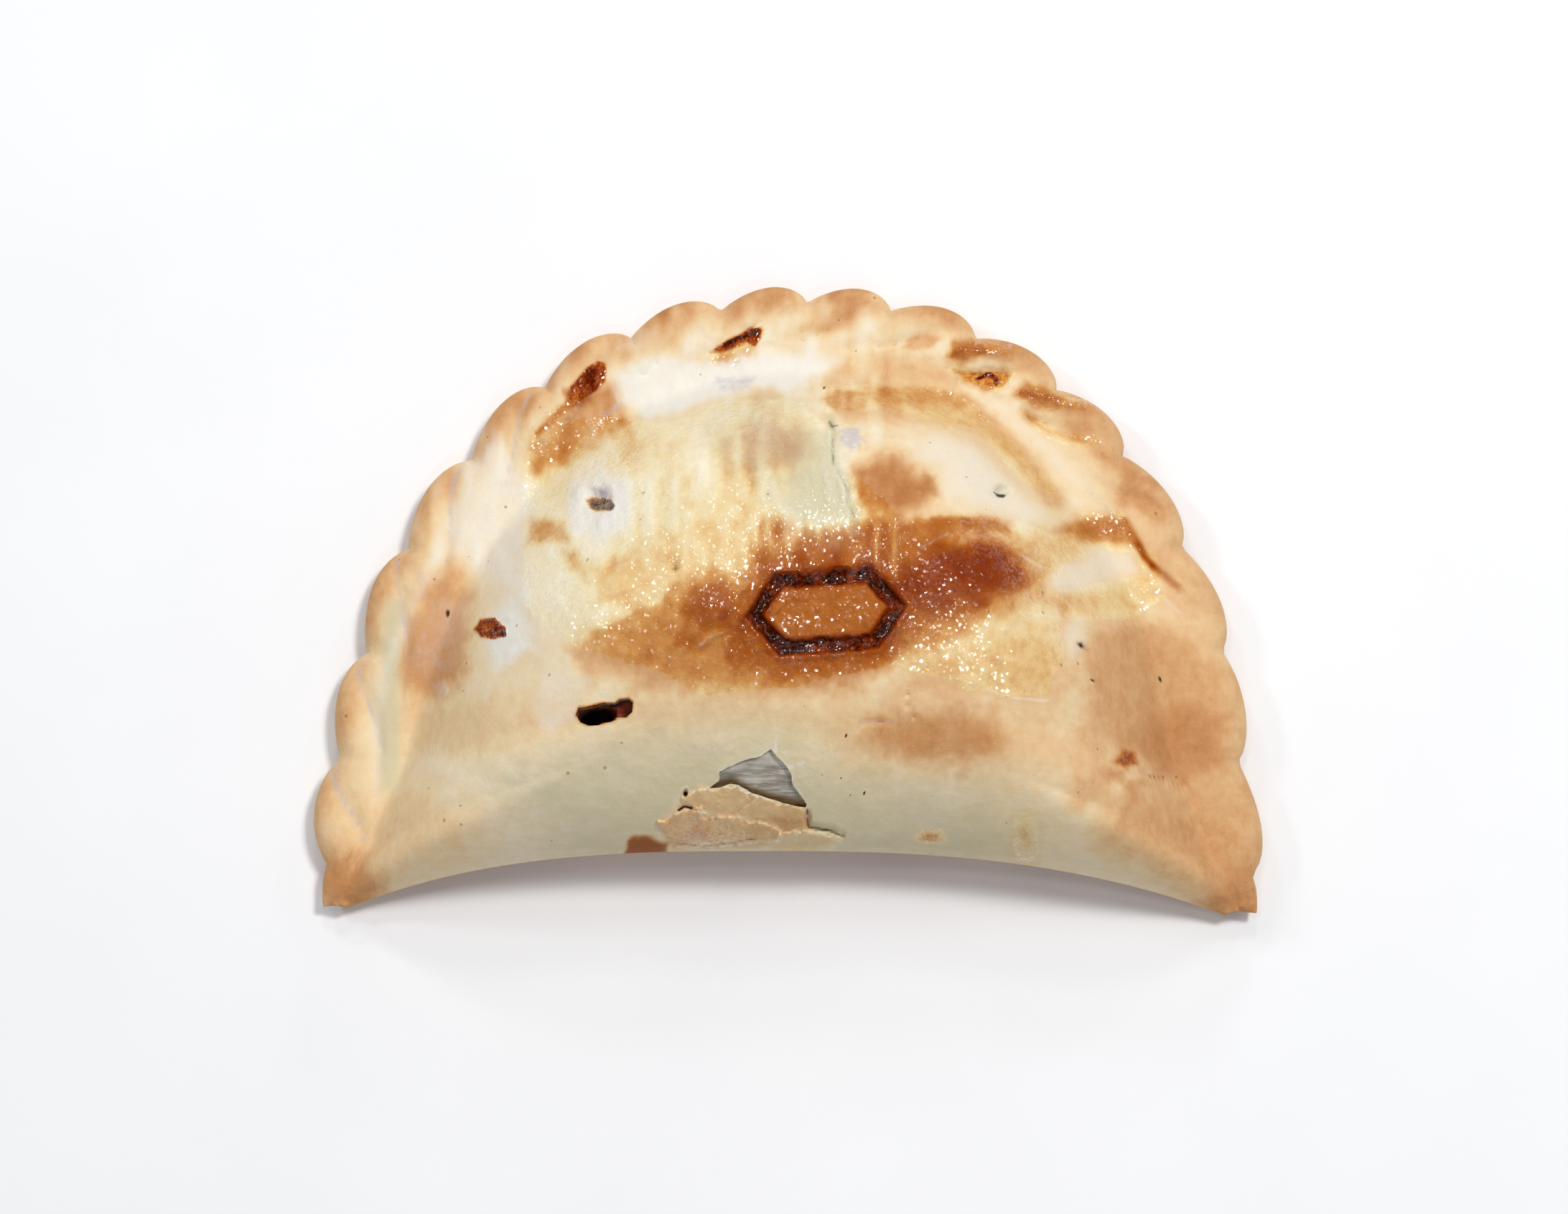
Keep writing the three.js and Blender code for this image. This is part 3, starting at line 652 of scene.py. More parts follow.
def section_shares(length):
    """Shares of the way along a section of that length: over the top, then back underneath."""
    rope = min(ROPE_WIDTH / length, 0.42)
    bend = min(6 / length, 0.2)
    under = min(FOLD_UNDER / length, 0.3)
    dome = spaced(DOME_STEPS + 1, lambda share: 1 + 0.8 * ease((share - 0.5) / 0.1))[:-1]
    edge = np.linspace(0, 1, ROPE_STEPS, endpoint=False)
    turn = np.linspace(0, 1, ROUND_STEPS, endpoint=False)
    base = np.linspace(0, 1, BASE_STEPS)[1:-1]
    above = np.concatenate([
        rope * edge * lerp(0.35, 1, edge),
        lerp(rope, 1 - bend, dome),
        1 - bend * (1 - turn) ** 2,
    ])
    below = np.concatenate([
        1 - under * (1 - np.cos(np.pi / 2 * turn)),
        lerp(1 - under, rope, base),
        rope * (1 - edge[::2]) * lerp(1, 1 - edge[::2], 0.5),
    ])
    return above, below


def dough_rings():
    """Rings in the plan without pinches. Instead of a height they hold 1 above and 0 below."""
    rings = []
    for share in spaced(RINGS, ring_weight):
        above, below = section_shares(path_length(share))
        spots = path_points(share, np.concatenate([above, below]))
        side = np.concatenate([np.ones(len(above)), np.zeros(len(below))])
        rings.append(np.column_stack([spots, side]))
    return np.array(rings)


def refine(piece, area):
    """Halves the faces of the top that lie in a seen box."""
    x, y, side = vertex_places(piece)
    place = place_of(x, y)
    left, low, right, high = area
    inside = (place["u"] > left) & (place["u"] < right) & (side == 1)
    inside = inside & (place["v"] > low) & (place["v"] < high)
    mesh = bmesh.new()
    mesh.from_mesh(piece.data)
    faces = [face for face in mesh.faces if all(inside[vertex.index] for vertex in face.verts)]
    edges = list(dict.fromkeys(edge for face in faces for edge in face.edges))
    bmesh.ops.subdivide_edges(mesh, edges=edges, cuts=1, use_grid_fill=True)
    mesh.to_mesh(piece.data)
    mesh.free()


def raise_dough(piece):
    """From the plan to the real shape."""
    x, y, side = vertex_places(piece)
    place = place_of(x, y)
    height = lerp(base_height(place), top_height(place), side)
    points = np.stack([place["at_x"], place["at_y"], height], -1)
    piece.data.vertices.foreach_set("co", points.astype(np.float32).ravel())
    piece.data.update()


def hollow_rings(inset, floor, steps, cuts):
    """The room inside the crust: a floor, and a vault that follows the top."""
    rings = []
    for share in np.linspace(*HOLLOW_SPAN, cuts):
        length = path_length(share)
        start, end = (ROPE_WIDTH + inset + 1) / length, 1 - (inset + 1) / length
        share_in = 1 - (1 - np.linspace(0, 1, steps, endpoint=False)) ** 1.3
        spots = path_points(share, lerp(start, end, share_in))
        vault = np.maximum(body_height(place_of(spots[:, 0], spots[:, 1]), inset), floor + 1.4)
        low = path_points(share, lerp(end, start, np.array([0, 0.03, 0.1, 0.3, 0.65, 1])))
        mid = place_of(low[:1, 0], low[:1, 1])["fold_mid"][0]
        heights = np.array([mid, lerp(mid, floor, 0.7), floor, floor, floor, floor])
        rings.append(np.concatenate([
            np.column_stack([spots, vault]),
            np.column_stack([low, heights]),
        ]))
    return np.array(rings)


def column(name, corners, ragged, seed):
    """An upright column over an outline on the top, with many more corners moved at random."""
    points = []
    for (x0, y0), (x1, y1) in zip(corners, corners[1:] + corners[:1]):
        cuts = max(1, round(math.hypot(x1 - x0, y1 - y0) / 0.25))
        points += [(lerp(x0, x1, i / cuts), lerp(y0, y1, i / cuts)) for i in range(cuts)]
    x, y = np.array(plan_of(points)).T
    moved = [noise(x, y, 1.2, seed + k, 3) for k in (0, 1)]
    outline = np.stack([x, y], -1) + ragged * np.stack(moved, -1)
    beyond = np.roll(outline, -1, 0)
    if np.sum(outline[:, 0] * beyond[:, 1] - beyond[:, 0] * outline[:, 1]) < 0:
        outline = outline[::-1]
    count = len(outline)
    ends = [np.column_stack([outline, np.full(count, height)]) for height in (FLOOR_WALL + 1, 60)]
    sides = [(i, (i + 1) % count, (i + 1) % count + count, i + count) for i in range(count)]
    faces = sides + [tuple(range(count))[::-1], tuple(range(count, 2 * count))]
    return mesh_object(name, np.concatenate(ends), faces)


def cut(piece, cutter):
    modifier = piece.modifiers.new("cut", "BOOLEAN")
    modifier.operation = "DIFFERENCE"
    modifier.solver = "MANIFOLD"
    modifier.object = cutter
    graph = bpy.context.evaluated_depsgraph_get()
    cut_mesh = bpy.data.meshes.new_from_object(piece.evaluated_get(graph))
    piece.modifiers.clear()
    piece.data = cut_mesh
    bpy.data.objects.remove(cutter)


# ---- Browning and other looks, painted by place --------------------------------------------
#
# Looks: brown is the browning, from 0 raw to 1.3 burnt; wash 1 where brushed with egg; pale 1
# where floury, and on the wash's crests as a painted highlight; grey 1 where damp, and as painted
# shade on the lower half, in the left rope's groove, in a pit and by the long crack; ash 1 on
# lavender-grey flakes, and as painted shade in the rope's creases and the poke's crater; juice 1 on
# set juice; char 1 where burnt black, and as painted shade in pits and cracks; shine how many of
# the wash's tiny flakes glint.

OTHER_LOOKS = ("wash", "pale", "grey", "ash", "juice", "char")
BROKEN_LOOKS = ("pale", "ash", "char")  # whose lines are uneven along their way

# Spots that several looks share.
DRIP = [(31, 14), (33.8, 13.6), (34.4, 9), (33.4, 6.6), (31.8, 7), (31, 10)]
RIGHT_SPOT = [(17.2, 10.2), (19, 11.6), (21, 11.2), (21.5, 10.2), (19, 9.7)]
LEFT_SPOT = [(-22.4, 7.4), (-21.4, 10.6), (-18.6, 10.4), (-16.4, 9.6), (-17, 7), (-20.4, 6.4)]
STAIN = [(-11, 76.5), (-9, 77.4), (-5, 78), (-4.3, 76.4), (-7, 74.6), (-10.5, 75)]

# Patches by look, each over the ones before: level, softness, raggedness, seen corners.
PATCHES = {
    "brown": [
        # Golden places in the egg wash.
        (0.33, 4, 2, [(-20, 44), (-6, 46), (0, 53), (-4, 58), (-14, 56), (-22, 50)]),
        (0.36, 1.5, 1, [(-27, 48.5), (-20, 50), (-17, 45), (-19, 42), (-26, 43)]),
        (0.36, 1, 0.6, [(-31, 49.5), (-29, 50), (-26.8, 47), (-27.5, 45.5), (-30, 47)]),
        (0.27, 3, 1.5, [(-24, 62), (-14, 60), (-12, 66), (-22, 67)]),
        # Right half, from pale to brown.
        (0.28, 3, 1.5, [(-22, 30), (4, 29.5), (12, 31), (10, 25), (-22, 26)]),
        (0.39, 4, 1.5, [(14, 29), (38, 28), (40, 33), (38, 41), (30, 40), (16, 36)]),
        (0.34, 1.2, 0.6, [(33.5, 42.5), (44, 44.7), (50, 47), (51.5, 43.5), (47, 41), (40, 40.3)]),
        (0.38, 2, 1, [(30, 49.5), (34, 52.5), (38, 53), (41, 51), (39, 48.5), (31, 47)]),
        (0.6, 1.2, 0.6, [(36.5, 52.5), (40, 54.4), (44, 54.8), (47.5, 53), (48.5, 50.5), (45, 50.5)]),
        (0.32, 4, 1.5, [(6, 24), (10, 28), (20, 29.5), (40, 26), (40, 19), (8, 20.5)]),
        (0.5, 1.6, 1, [(10.5, 24), (12, 27), (16, 27), (14, 22)]),
        (0.52, 2.6, 1.2, [(12, 24.5), (17, 27.3), (24, 28), (29, 26.5), (30, 22.5), (24, 20.6),
         (16, 21)]),
        (0.48, 5, 1.5, [(44, 16), (50, 18), (58, 16), (63, 18), (64, 6), (58, 2), (44, 10)]),
        (0.47, 2.4, 1.2, [(40.3, 37), (44, 40.3), (50, 40.3), (55, 37), (59.5, 31.5), (61, 26),
         (60, 20), (56, 16.5), (50, 18.5), (45, 21.5), (41.5, 25), (40, 31)]),
        (0.58, 3, 1.2, [(54, 29.5), (58.5, 26), (58.5, 21), (54, 19), (50, 20.5), (48, 24)]),
        (0.85, 0.6, 0.25, [(44.6, 20.8), (46, 22.4), (47.6, 22.2), (47.8, 20.6), (46.4, 20)]),
        (0.55, 1, 0.5, [(41.8, 19.5), (44, 20.6), (46.6, 20), (46, 18.2), (44, 17.8)]),
        (0.5, 1, 0.5, [(46.3, 14.2), (46.5, 17.8), (48.5, 18.2), (49, 15.5)]),
        (0.4, 2, 1, [(39.5, 26), (43, 27), (45, 22), (43, 18), (40, 20)]),
        (0.42, 1.5, 0.7, [(38.5, 14.5), (40, 18.8), (43.5, 18.5), (44.5, 16.5), (41, 14)]),
        (0.4, 1.6, 0.8, DRIP),
        (0.46, 0.8, 0.4, RIGHT_SPOT),
        # Left half, and the tip of the right horn.
        (0.86, 0.5, 0.6, LEFT_SPOT),
        (0.27, 3, 1.5, [(-56, 23), (-55, 29), (-36, 29), (-28, 31), (-28, 26), (-36, 23), (-46, 22)]),
        (0.26, 5, 2, [(-60, 18), (-50, 18), (-42, 14), (-44, 8), (-62, 2), (-64, 10)]),
        (0.5, 2.4, 1.2, [(-46.5, 48), (-44.5, 46.5), (-43.4, 43.5), (-43.4, 38), (-45, 31), (-48, 30),
         (-52, 31), (-53.5, 35), (-52.3, 40), (-50, 45.5)]),
        (0.57, 3, 1, [(-52, 33), (-51.5, 37), (-48, 40), (-45, 38), (-45, 34), (-48, 32)]),
        (0.58, 2.8, 1, [(-63, 0), (-64, 7), (-60, 9), (-56, 6), (-54.5, 3.5), (-58, 0)]),
        (0.58, 3, 1, [(56, 0), (58.5, 4.5), (63, 6), (65.5, 3), (65.4, -1)]),
        (0.57, 1.8, 0.8, [(-35.5, 60), (-35, 64), (-31, 68.5), (-26, 72.5), (-23, 72.5), (-22, 68),
         (-22, 66.5), (-25, 65), (-28, 63), (-34, 60)]),
        (0.42, 0.8, 0.5, [(-35.7, 50.5), (-35.4, 54.2), (-30, 54), (-29.5, 51)]),
        # Above: bands, the arc of wash and its edges.
        (0.36, 1, 0.5, [(-5.3, 70.5), (-4.5, 72.3), (-1.5, 72.5), (-0.4, 70.8), (0.8, 67), (-4, 66.5)]),
        (0.42, 2.5, 1, [(-9, 66), (-3, 66), (-3, 59), (-8, 60)]),
        (0.55, 2.6, 1, [(-4.5, 67), (1.5, 68), (3.5, 64), (1, 60.5), (-3, 61), (-5, 64)]),
        (0.36, 2, 1, [(6, 75.8), (14, 76.5), (22, 75.5), (25, 73), (22, 71.5), (6, 72.5)]),
        (0.26, 1.5, 0.6, [(26, 67), (35, 56.5), (33, 56), (24, 65), (18, 67), (12, 67.6)]),
        (0.4, 0.7, 0.4, [(12, 72.6), (20, 72.5), (25, 71), (28, 68.5), (31, 65.5), (36.5, 58),
         (37.8, 55.4), (35.6, 56), (30.5, 62.6), (27.5, 65), (24, 66.6), (13, 69)]),
        (0.5, 1, 0.6, [(10, 72.4), (18, 72.3), (25.5, 70.5), (24, 68.5), (12, 69.8)]),
        (0.5, 0.7, 0.5, [(5, 71), (7, 72.2), (12, 71.5), (11, 69), (7, 68.3), (5.2, 69.5)]),
        (0.36, 1.5, 0.8, [(5, 68.5), (10, 69.5), (24, 69), (25, 67), (14, 67.8), (6, 67.5)]),
        (0.61, 2.4, 1.2, [(9, 61), (12, 63), (16, 62.6), (19, 60.5), (19.6, 57), (18.4, 54.8),
         (15.5, 54), (12, 54.8), (9, 56.5)]),
        (0.66, 0.8, 0.3, [(17.8, 58.5), (18.8, 60.4), (20.2, 59.8), (20.3, 57.8), (18.5, 57.3)]),
        (0.42, 1.5, 0.6, [(33, 42.5), (35, 45), (39, 44.6), (42, 42.5), (38, 40)]),
        (0.46, 1.5, 0.6, [(2, 80), (6, 83.5), (10, 83), (9, 80.4), (5, 79.4)]),
        (0.4, 0.8, 0.4, STAIN),
        # The scorched halo round the stamp.
        (0.42, 1.8, 1, [(-30, 36.6), (-28.4, 38.4), (-19, 41.6), (-14, 46), (-8, 46.8), (0.6, 54.2),
         (3.2, 52.8), (11.5, 54.6), (22, 54.6), (30, 53.6), (36, 45.5), (33, 41), (18, 36.5), (14, 33),
         (8, 30.8), (-4, 29.5), (-9, 30.3), (-14, 29.5), (-26, 32.6), (-29.5, 34.6)]),
        (0.48, 0.5, 0.4, [(-27, 38.7), (-22.2, 40.3), (-19.4, 42.3), (-17.1, 42.8), (-16, 44.9),
         (-13.7, 46.4), (-11, 47), (-7, 47), (-18, 33.5), (-26, 34.5)]),
        (0.56, 2.4, 1, [(-22, 38.5), (-15, 43.5), (-6, 45.5), (9, 53), (15, 54), (30, 51), (34.3, 47),
         (26, 39.6), (8, 32), (-12, 32), (-20, 33.5)]),
        (0.56, 1.6, 0.8, [(-5, 48), (-3.6, 53), (-1, 54.6), (2, 53.6), (5, 52)]),
        (0.69, 1.8, 0.8, [(-8, 37), (-3, 49), (0, 51), (10, 53.6), (17, 54.2), (24, 42), (18, 39),
         (13, 35), (7, 32.6), (0, 32), (-7, 34)]),
        (0.76, 1.5, 0.8, [(16, 50), (21, 53), (21, 50)]),
        (0.9, 1.5, 1, [(15.6, 47.6), (23, 50.6), (27, 51), (30.5, 49.6), (32.8, 47.3), (32, 45.3),
         (24, 41.9), (20, 42.4), (15.4, 44.2)]),
        (0.98, 2, 1, [(22, 47.5), (25, 50), (29, 49.8), (31, 47.8), (24, 45.2)]),
        (0.64, 0.8, 0.5, [(16, 54), (22, 54.5), (27, 54.3), (30.5, 53.3), (30.5, 52), (26, 52.8),
         (22, 52.4), (15.5, 50.5)]),
        (0.78, 1, 0.5, [(-8, 35), (-8, 40), (-5.6, 41), (-5, 36)]),
        (0.76, 1.5, 0.5, [(-14, 41), (-13, 44), (-10.5, 45.2), (-7.5, 44), (-6.5, 41), (-8.5, 39),
         (-12, 39)]),
        (0.7, 0.9, 0.5, [(-16, 36.6), (-14.5, 38.5), (-12, 38.2), (-12.5, 36)]),
        # The rope's browned ridges.
        (0.55, 0.9, 0.5, [(22.2, 76.3), (23, 78.6), (31, 78.2), (33, 76.8), (24, 75.6)]),
        (0.62, 1.3, 0.6, [(22, 76.2), (23, 78.5), (28, 77.9), (24.6, 75.8)]),
        (0.55, 0.9, 0.5, [(31.2, 71), (32.5, 73), (34.6, 72.6), (37.5, 70.8), (41, 70.2), (42.5, 68.6),
         (40.5, 68.2), (33.5, 69.6)]),
        (0.62, 1.3, 0.6, [(31.4, 71), (33, 72.8), (38, 70), (34, 69.6)]),
        (0.48, 0.8, 0.4, [(38, 67.5), (41.5, 67.8), (42.5, 65.6), (39, 65)]),
        (0.6, 1.5, 0.8, [(42, 63), (44, 63.8), (46, 61.8), (51, 58.8), (47, 59), (44.5, 61.5)]),
        (0.52, 1.2, 0.6, [(45, 57.8), (48, 58.8), (52.4, 56), (51.5, 53.8), (45.5, 56)]),
        (0.42, 0.5, 0.2, [(15.5, 77.5), (17, 79.3), (20, 79.8), (21.5, 79), (20, 77.5), (17, 77)]),
        # Round the tear: bared dough, and its baked rims.
        (0.36, 0.8, 0.4,
         PLATE_UPPER_TOP + [(2.7, 12.5), (0, 11.3), (-3, 12.4), (-6, 13.2), (-14.5, 14.7)]),
        (0.5, 1.2, 0.5, [(-2, 13), (1, 13.6), (2.9, 12.8), (2.6, 11.8), (-0.3, 11)]),
        (0.43, 0.5, 0.3, PLATE_LOWER_TOP + [(-1.2, 9.7), (-6, 9.2), (-15.5, 9)]),
        (0.55, 1, 0.4, [(-13.4, 10.5), (-12.5, 12), (-10.8, 11.6), (-11.2, 10.4)]),
        (0.26, 0.6, 0.3, LIP_TOP + [(4, 8.6), (-2, 8.8)]),
        # Set juice, by how dark it is.
        (0.88, 0.3, 0.2, LEAK_A),
        (0.78, 0.8, 0.4, [(-30.5, 71.5), (-27.3, 72.3), (-26.5, 70), (-30, 69.2)]),
        (0.8, 0.3, 0.2, LEAK_B),
        (1.2, 0.4, 0.2, [(-5.9, 79.2), (-5, 80.3), (-3.9, 80.2), (-4.1, 79.3)]),
        (0.53, 0.8, 0.4, LEAK_C),
        (0.98, 0.3, 0.3, SCAB),
        (0.72, 0.4, 0.3, [(-42, 39), (-41.4, 39.8), (-40.2, 39.6), (-40.2, 38.6), (-41.4, 38.4)]),
        (1.3, 0.3, 0.2, [(-39.3, 38.6), (-38.5, 39), (-38.2, 38.3), (-38.8, 37.9)]),
        (0.7, 0.4, 0.4, POKE),
        (1, 0.4, 0.2, VENT),
    ],
    "wash": [
        # Right half.
        (0.4, 3, 1.2, [(8, 23), (12, 28), (24, 28), (32, 25), (30, 20), (16, 20)]),
        (1.3, 1.6, 0.6, DRIP),
        (1.8, 0.6, 0.4, RIGHT_SPOT),
        # Round the tear.
        (0.5, 0.6, 0.3, PLATE_UPPER_TOP + [(2.7, 11.8), (-3, 12.4), (-6, 13.2), (-14.5, 14.7)]),
        (0.6, 0.5, 0.3, PLATE_LOWER_TOP + [(-1.2, 9.7), (-6, 9.2), (-15.5, 9)]),
        # Where the egg wash has been brushed.
        (1, 0.5, 0.8, [(-36, 62), (-34, 67), (-24, 68.5), (-16, 67), (-10, 69.6), (-5, 70.6), (2, 70),
         (6, 66), (9, 60), (16, 54.5), (24, 55), (31, 53), (36, 46), (38, 36), (36, 30), (28, 30),
         (14, 34), (0, 31), (-12, 30), (-20, 34), (-30, 37), (-36, 42)]),
        (1, 1.4, 0.6, [(5, 72), (20, 72.6), (24, 71), (33, 62.5), (37, 57.5), (33, 59), (26, 66),
         (13, 69.5), (5, 68.5)]),
        (0.9, 0.5, 0.3, [(22, 75.8), (22.6, 78.4), (24.5, 78.6), (31, 78), (31, 76.6), (25, 75.9)]),
        (0.9, 0.5, 0.3, [(22.6, 75), (26, 74.6), (31.5, 74.4), (30.5, 72.6), (28.5, 71.4), (26, 72),
         (23.5, 73.8)]),
        (0.9, 0.5, 0.3, [(31.3, 71), (33, 73), (36, 72.2), (38, 70.9), (41.5, 70.6), (41, 68.8),
         (36, 69), (32.5, 70)]),
        (0.9, 0.5, 0.3, [(32.4, 69), (35, 67.8), (38, 65.8), (43, 65.6), (43, 64.2), (38, 64.2),
         (34, 66.4)]),
        (0.9, 0.8, 0.4, [(31, 54), (37, 52), (41, 55), (46, 55), (51, 48), (52, 43), (47, 40.5),
         (35, 40)]),
        (0, 0.8, 0.4, [(37, 44.6), (38.5, 48), (43, 50), (48, 49.5), (48.5, 46.6), (43, 45.4)]),
        (0.8, 0.6, 0.3, STAIN),
        (0.8, 0.5, 0.2, [(44.2, 20.5), (46, 22.8), (48, 22.4), (48, 20.4), (46, 19.6)]),
    ],
    "pale": [
        (0.9, 1.6, 0.9, [(-24, 74.5), (-18, 77), (-10, 75.5), (-4, 76.5), (4, 77), (8, 76), (3, 72.5),
         (-10, 71), (-14, 69), (-20, 68), (-22.5, 70)]),
        (0.6, 2.4, 0.5, [(-35, 60), (-34.6, 54), (-35.6, 50), (-35, 43), (-41, 45), (-46, 49),
         (-47, 52), (-44, 61), (-40, 66)]),
        (0.9, 2, 1, [(-42, 40), (-36, 44), (-34.6, 36), (-40, 33)]),
        (0.45, 1.4, 0.4, [(-43.5, 60), (-41, 60), (-46, 50), (-50, 43), (-54, 33), (-55.7, 25),
         (-55.5, 15), (-57, 15), (-57.2, 25), (-56, 33), (-52, 43)]),
        (0.45, 2, 0.8, [(-34, 33), (-31, 34.5), (-27, 32), (-29, 27), (-33, 23.5), (-35, 28)]),
        (0.8, 1.8, 0.6, [(-30, 59), (-26, 61.5), (-22, 59), (-21.5, 54), (-25, 51), (-30, 52.5)]),
        (0.5, 2, 0.8, [(16, 62), (20, 66), (26, 64.6), (34, 57), (35.4, 54.4), (33, 53.2), (29, 55),
         (21.5, 57), (21, 61)]),
        (0.5, 1.5, 0.8, [(35.5, 44.5), (38, 48), (43, 50.5), (47.5, 50), (48, 46.5), (38, 43.8)]),
        (0.45, 1.2, 0.5, [(37.5, 40), (40.5, 41), (41.5, 37), (39, 34), (37.5, 36)]),
        (0.4, 1, 0.4, [(28, 71), (33, 67.5), (37, 63.5), (41.5, 58.5), (40, 57.5), (35.5, 62.5),
         (31, 67)]),
        (0.35, 1.5, 0.8, [(-16, 16.5), (-14.5, 17), (-13.8, 15), (-16, 14.8)]),
        (0.3, 2, 1, [(-52, 33), (-51, 41), (-47, 45), (-43, 43), (-44, 34), (-48, 32)]),
        (0.35, 1.5, 0.8, [(-25, 77), (-22, 79.5), (-18, 80.4), (-17, 76.5)]),
        (0.4, 0.3, 0.2, FLAKE_LEFT),
        (0, 0.3, 0.3, POKE),
    ],
    "grey": [
        # Painted shade on the lower half, which turns away from the light.
        (0.7, 6, 2, [(-44, 20), (-20, 26), (0, 27), (8, 20), (24, 17), (36, 13), (30, 6), (-30, 6)]),
        (0.5, 3, 1.5, [(-14, 68), (-4, 72), (2, 71), (8.5, 56), (9, 52.5), (4, 51.5), (-2, 54.5),
         (-6, 60), (-12, 64)]),
        (0.85, 2, 1, [(2, 66), (7, 65), (8, 58), (9, 54.5), (4, 54), (0, 56), (0, 60)]),
        (0, 0.8, 0.4, RIGHT_SPOT),
        (0.3, 1.6, 0.6, DRIP),
        (0, 0.8, 0.6, LEFT_SPOT),
        (0.6, 2.5, 1, [(-3, 66), (0.5, 66), (1.5, 63.5), (-3, 63)]),
        # Painted shade in the pit below the arc.
        (1, 0.7, 0.3, [(28.5, 58.4), (29.4, 59), (30.5, 58.4), (30.2, 57.5), (28.7, 57.5)]),
        # Less of that painted shade on the tear's plates.
        (0.25, 0.8, 0.3, PLATE_UPPER_TOP + [(3, 11.5), (7.5, 10.5), (6, 8), (-17, 8), (-17.9, 12.6)]),
        (0.25, 0.4, 0.3, POKE),
    ],
    "ash": [
        (0.4, 0.5, 0.4, [(-9.8, 73.4), (-4.3, 73.6), (-5, 71.6), (-9.2, 72.2)]),
        (0.5, 0.35, 0.3, FLAKE_ARC),
        # Painted shade on the upper wall of the poke's crater.
        (0.8, 0.8, 0.3, [(-27.2, 57), (-26.3, 58.6), (-24.6, 58.4), (-23.8, 57)]),
        (0, 0.3, 0.3, POKE),
    ],
    "juice": [
        (1, 0.22, 0.2, LEAK_A),
        (1, 0.22, 0.2, LEAK_B),
        (0.7, 0.5, 0.4, LEAK_C),
        (1, 0.25, 0.2, SCAB),
        (1, 0.3, 0.15, VENT),
    ],
    "char": [
        # Painted shade: a dark crescent in the pit below the arc, and the pit above the blister.
        (0.8, 0.35, 0.2, [(28.4, 57.9), (28.9, 57.2), (29.7, 57.2), (30, 57.6), (29.2, 57.7)]),
        (0.4, 0.4, 0.3, [(-16.1, 47.3), (-15.5, 48.3), (-14.6, 47.5), (-15.1, 46.6)]),
        (0.6, 0.4, 0.6, POKE),
        (1, 0.4, 0.3, [(-25.2, 56.9), (-24, 56.7), (-24, 55.6), (-25.2, 55.6)]),
    ],
    "shine": [
        (1, 2, 1, [(-33, 44), (-33.5, 49.5), (-29.5, 50), (-29, 44), (-22, 43.5), (-18, 41),
         (-24, 37.5), (-32, 37)]),
        (1, 1.5, 0.8, [(-22, 52), (-19, 53), (-15, 48), (-15, 45), (-19, 45.5), (-22, 49)]),
        (0.9, 2, 1, [(-10, 47), (-2, 47), (1, 52), (1, 59), (-2, 59), (-3, 52), (-9, 51)]),
        (0.9, 3, 1.5, [(-25, 52), (-22, 66), (-2, 66), (0, 52), (-10, 46)]),
        (0.8, 1, 0.8, [(1.5, 53), (1.5, 60.5), (7.5, 60.5), (7.5, 53)]),
        (1.6, 0.8, 0.4, [(-13, 40), (-13, 43.5), (-8, 44), (-7.5, 40.5)]),
        (1, 2, 1, [(14, 33), (14, 42), (20, 44), (30, 45), (38, 42), (38, 36), (30, 32), (20, 31)]),
        (0.9, 1, 0.6, [(3.5, 69), (4, 72.5), (10, 72.5), (10, 69.5)]),
        (1, 0.8, 0.4, [(22, 76), (31, 77.6), (31, 76.4), (24, 75.6)]),
        (1, 0.8, 0.4, [(31.5, 71.2), (34, 71), (41, 69.8), (41, 68.4), (34, 69.4)]),
    ],
}

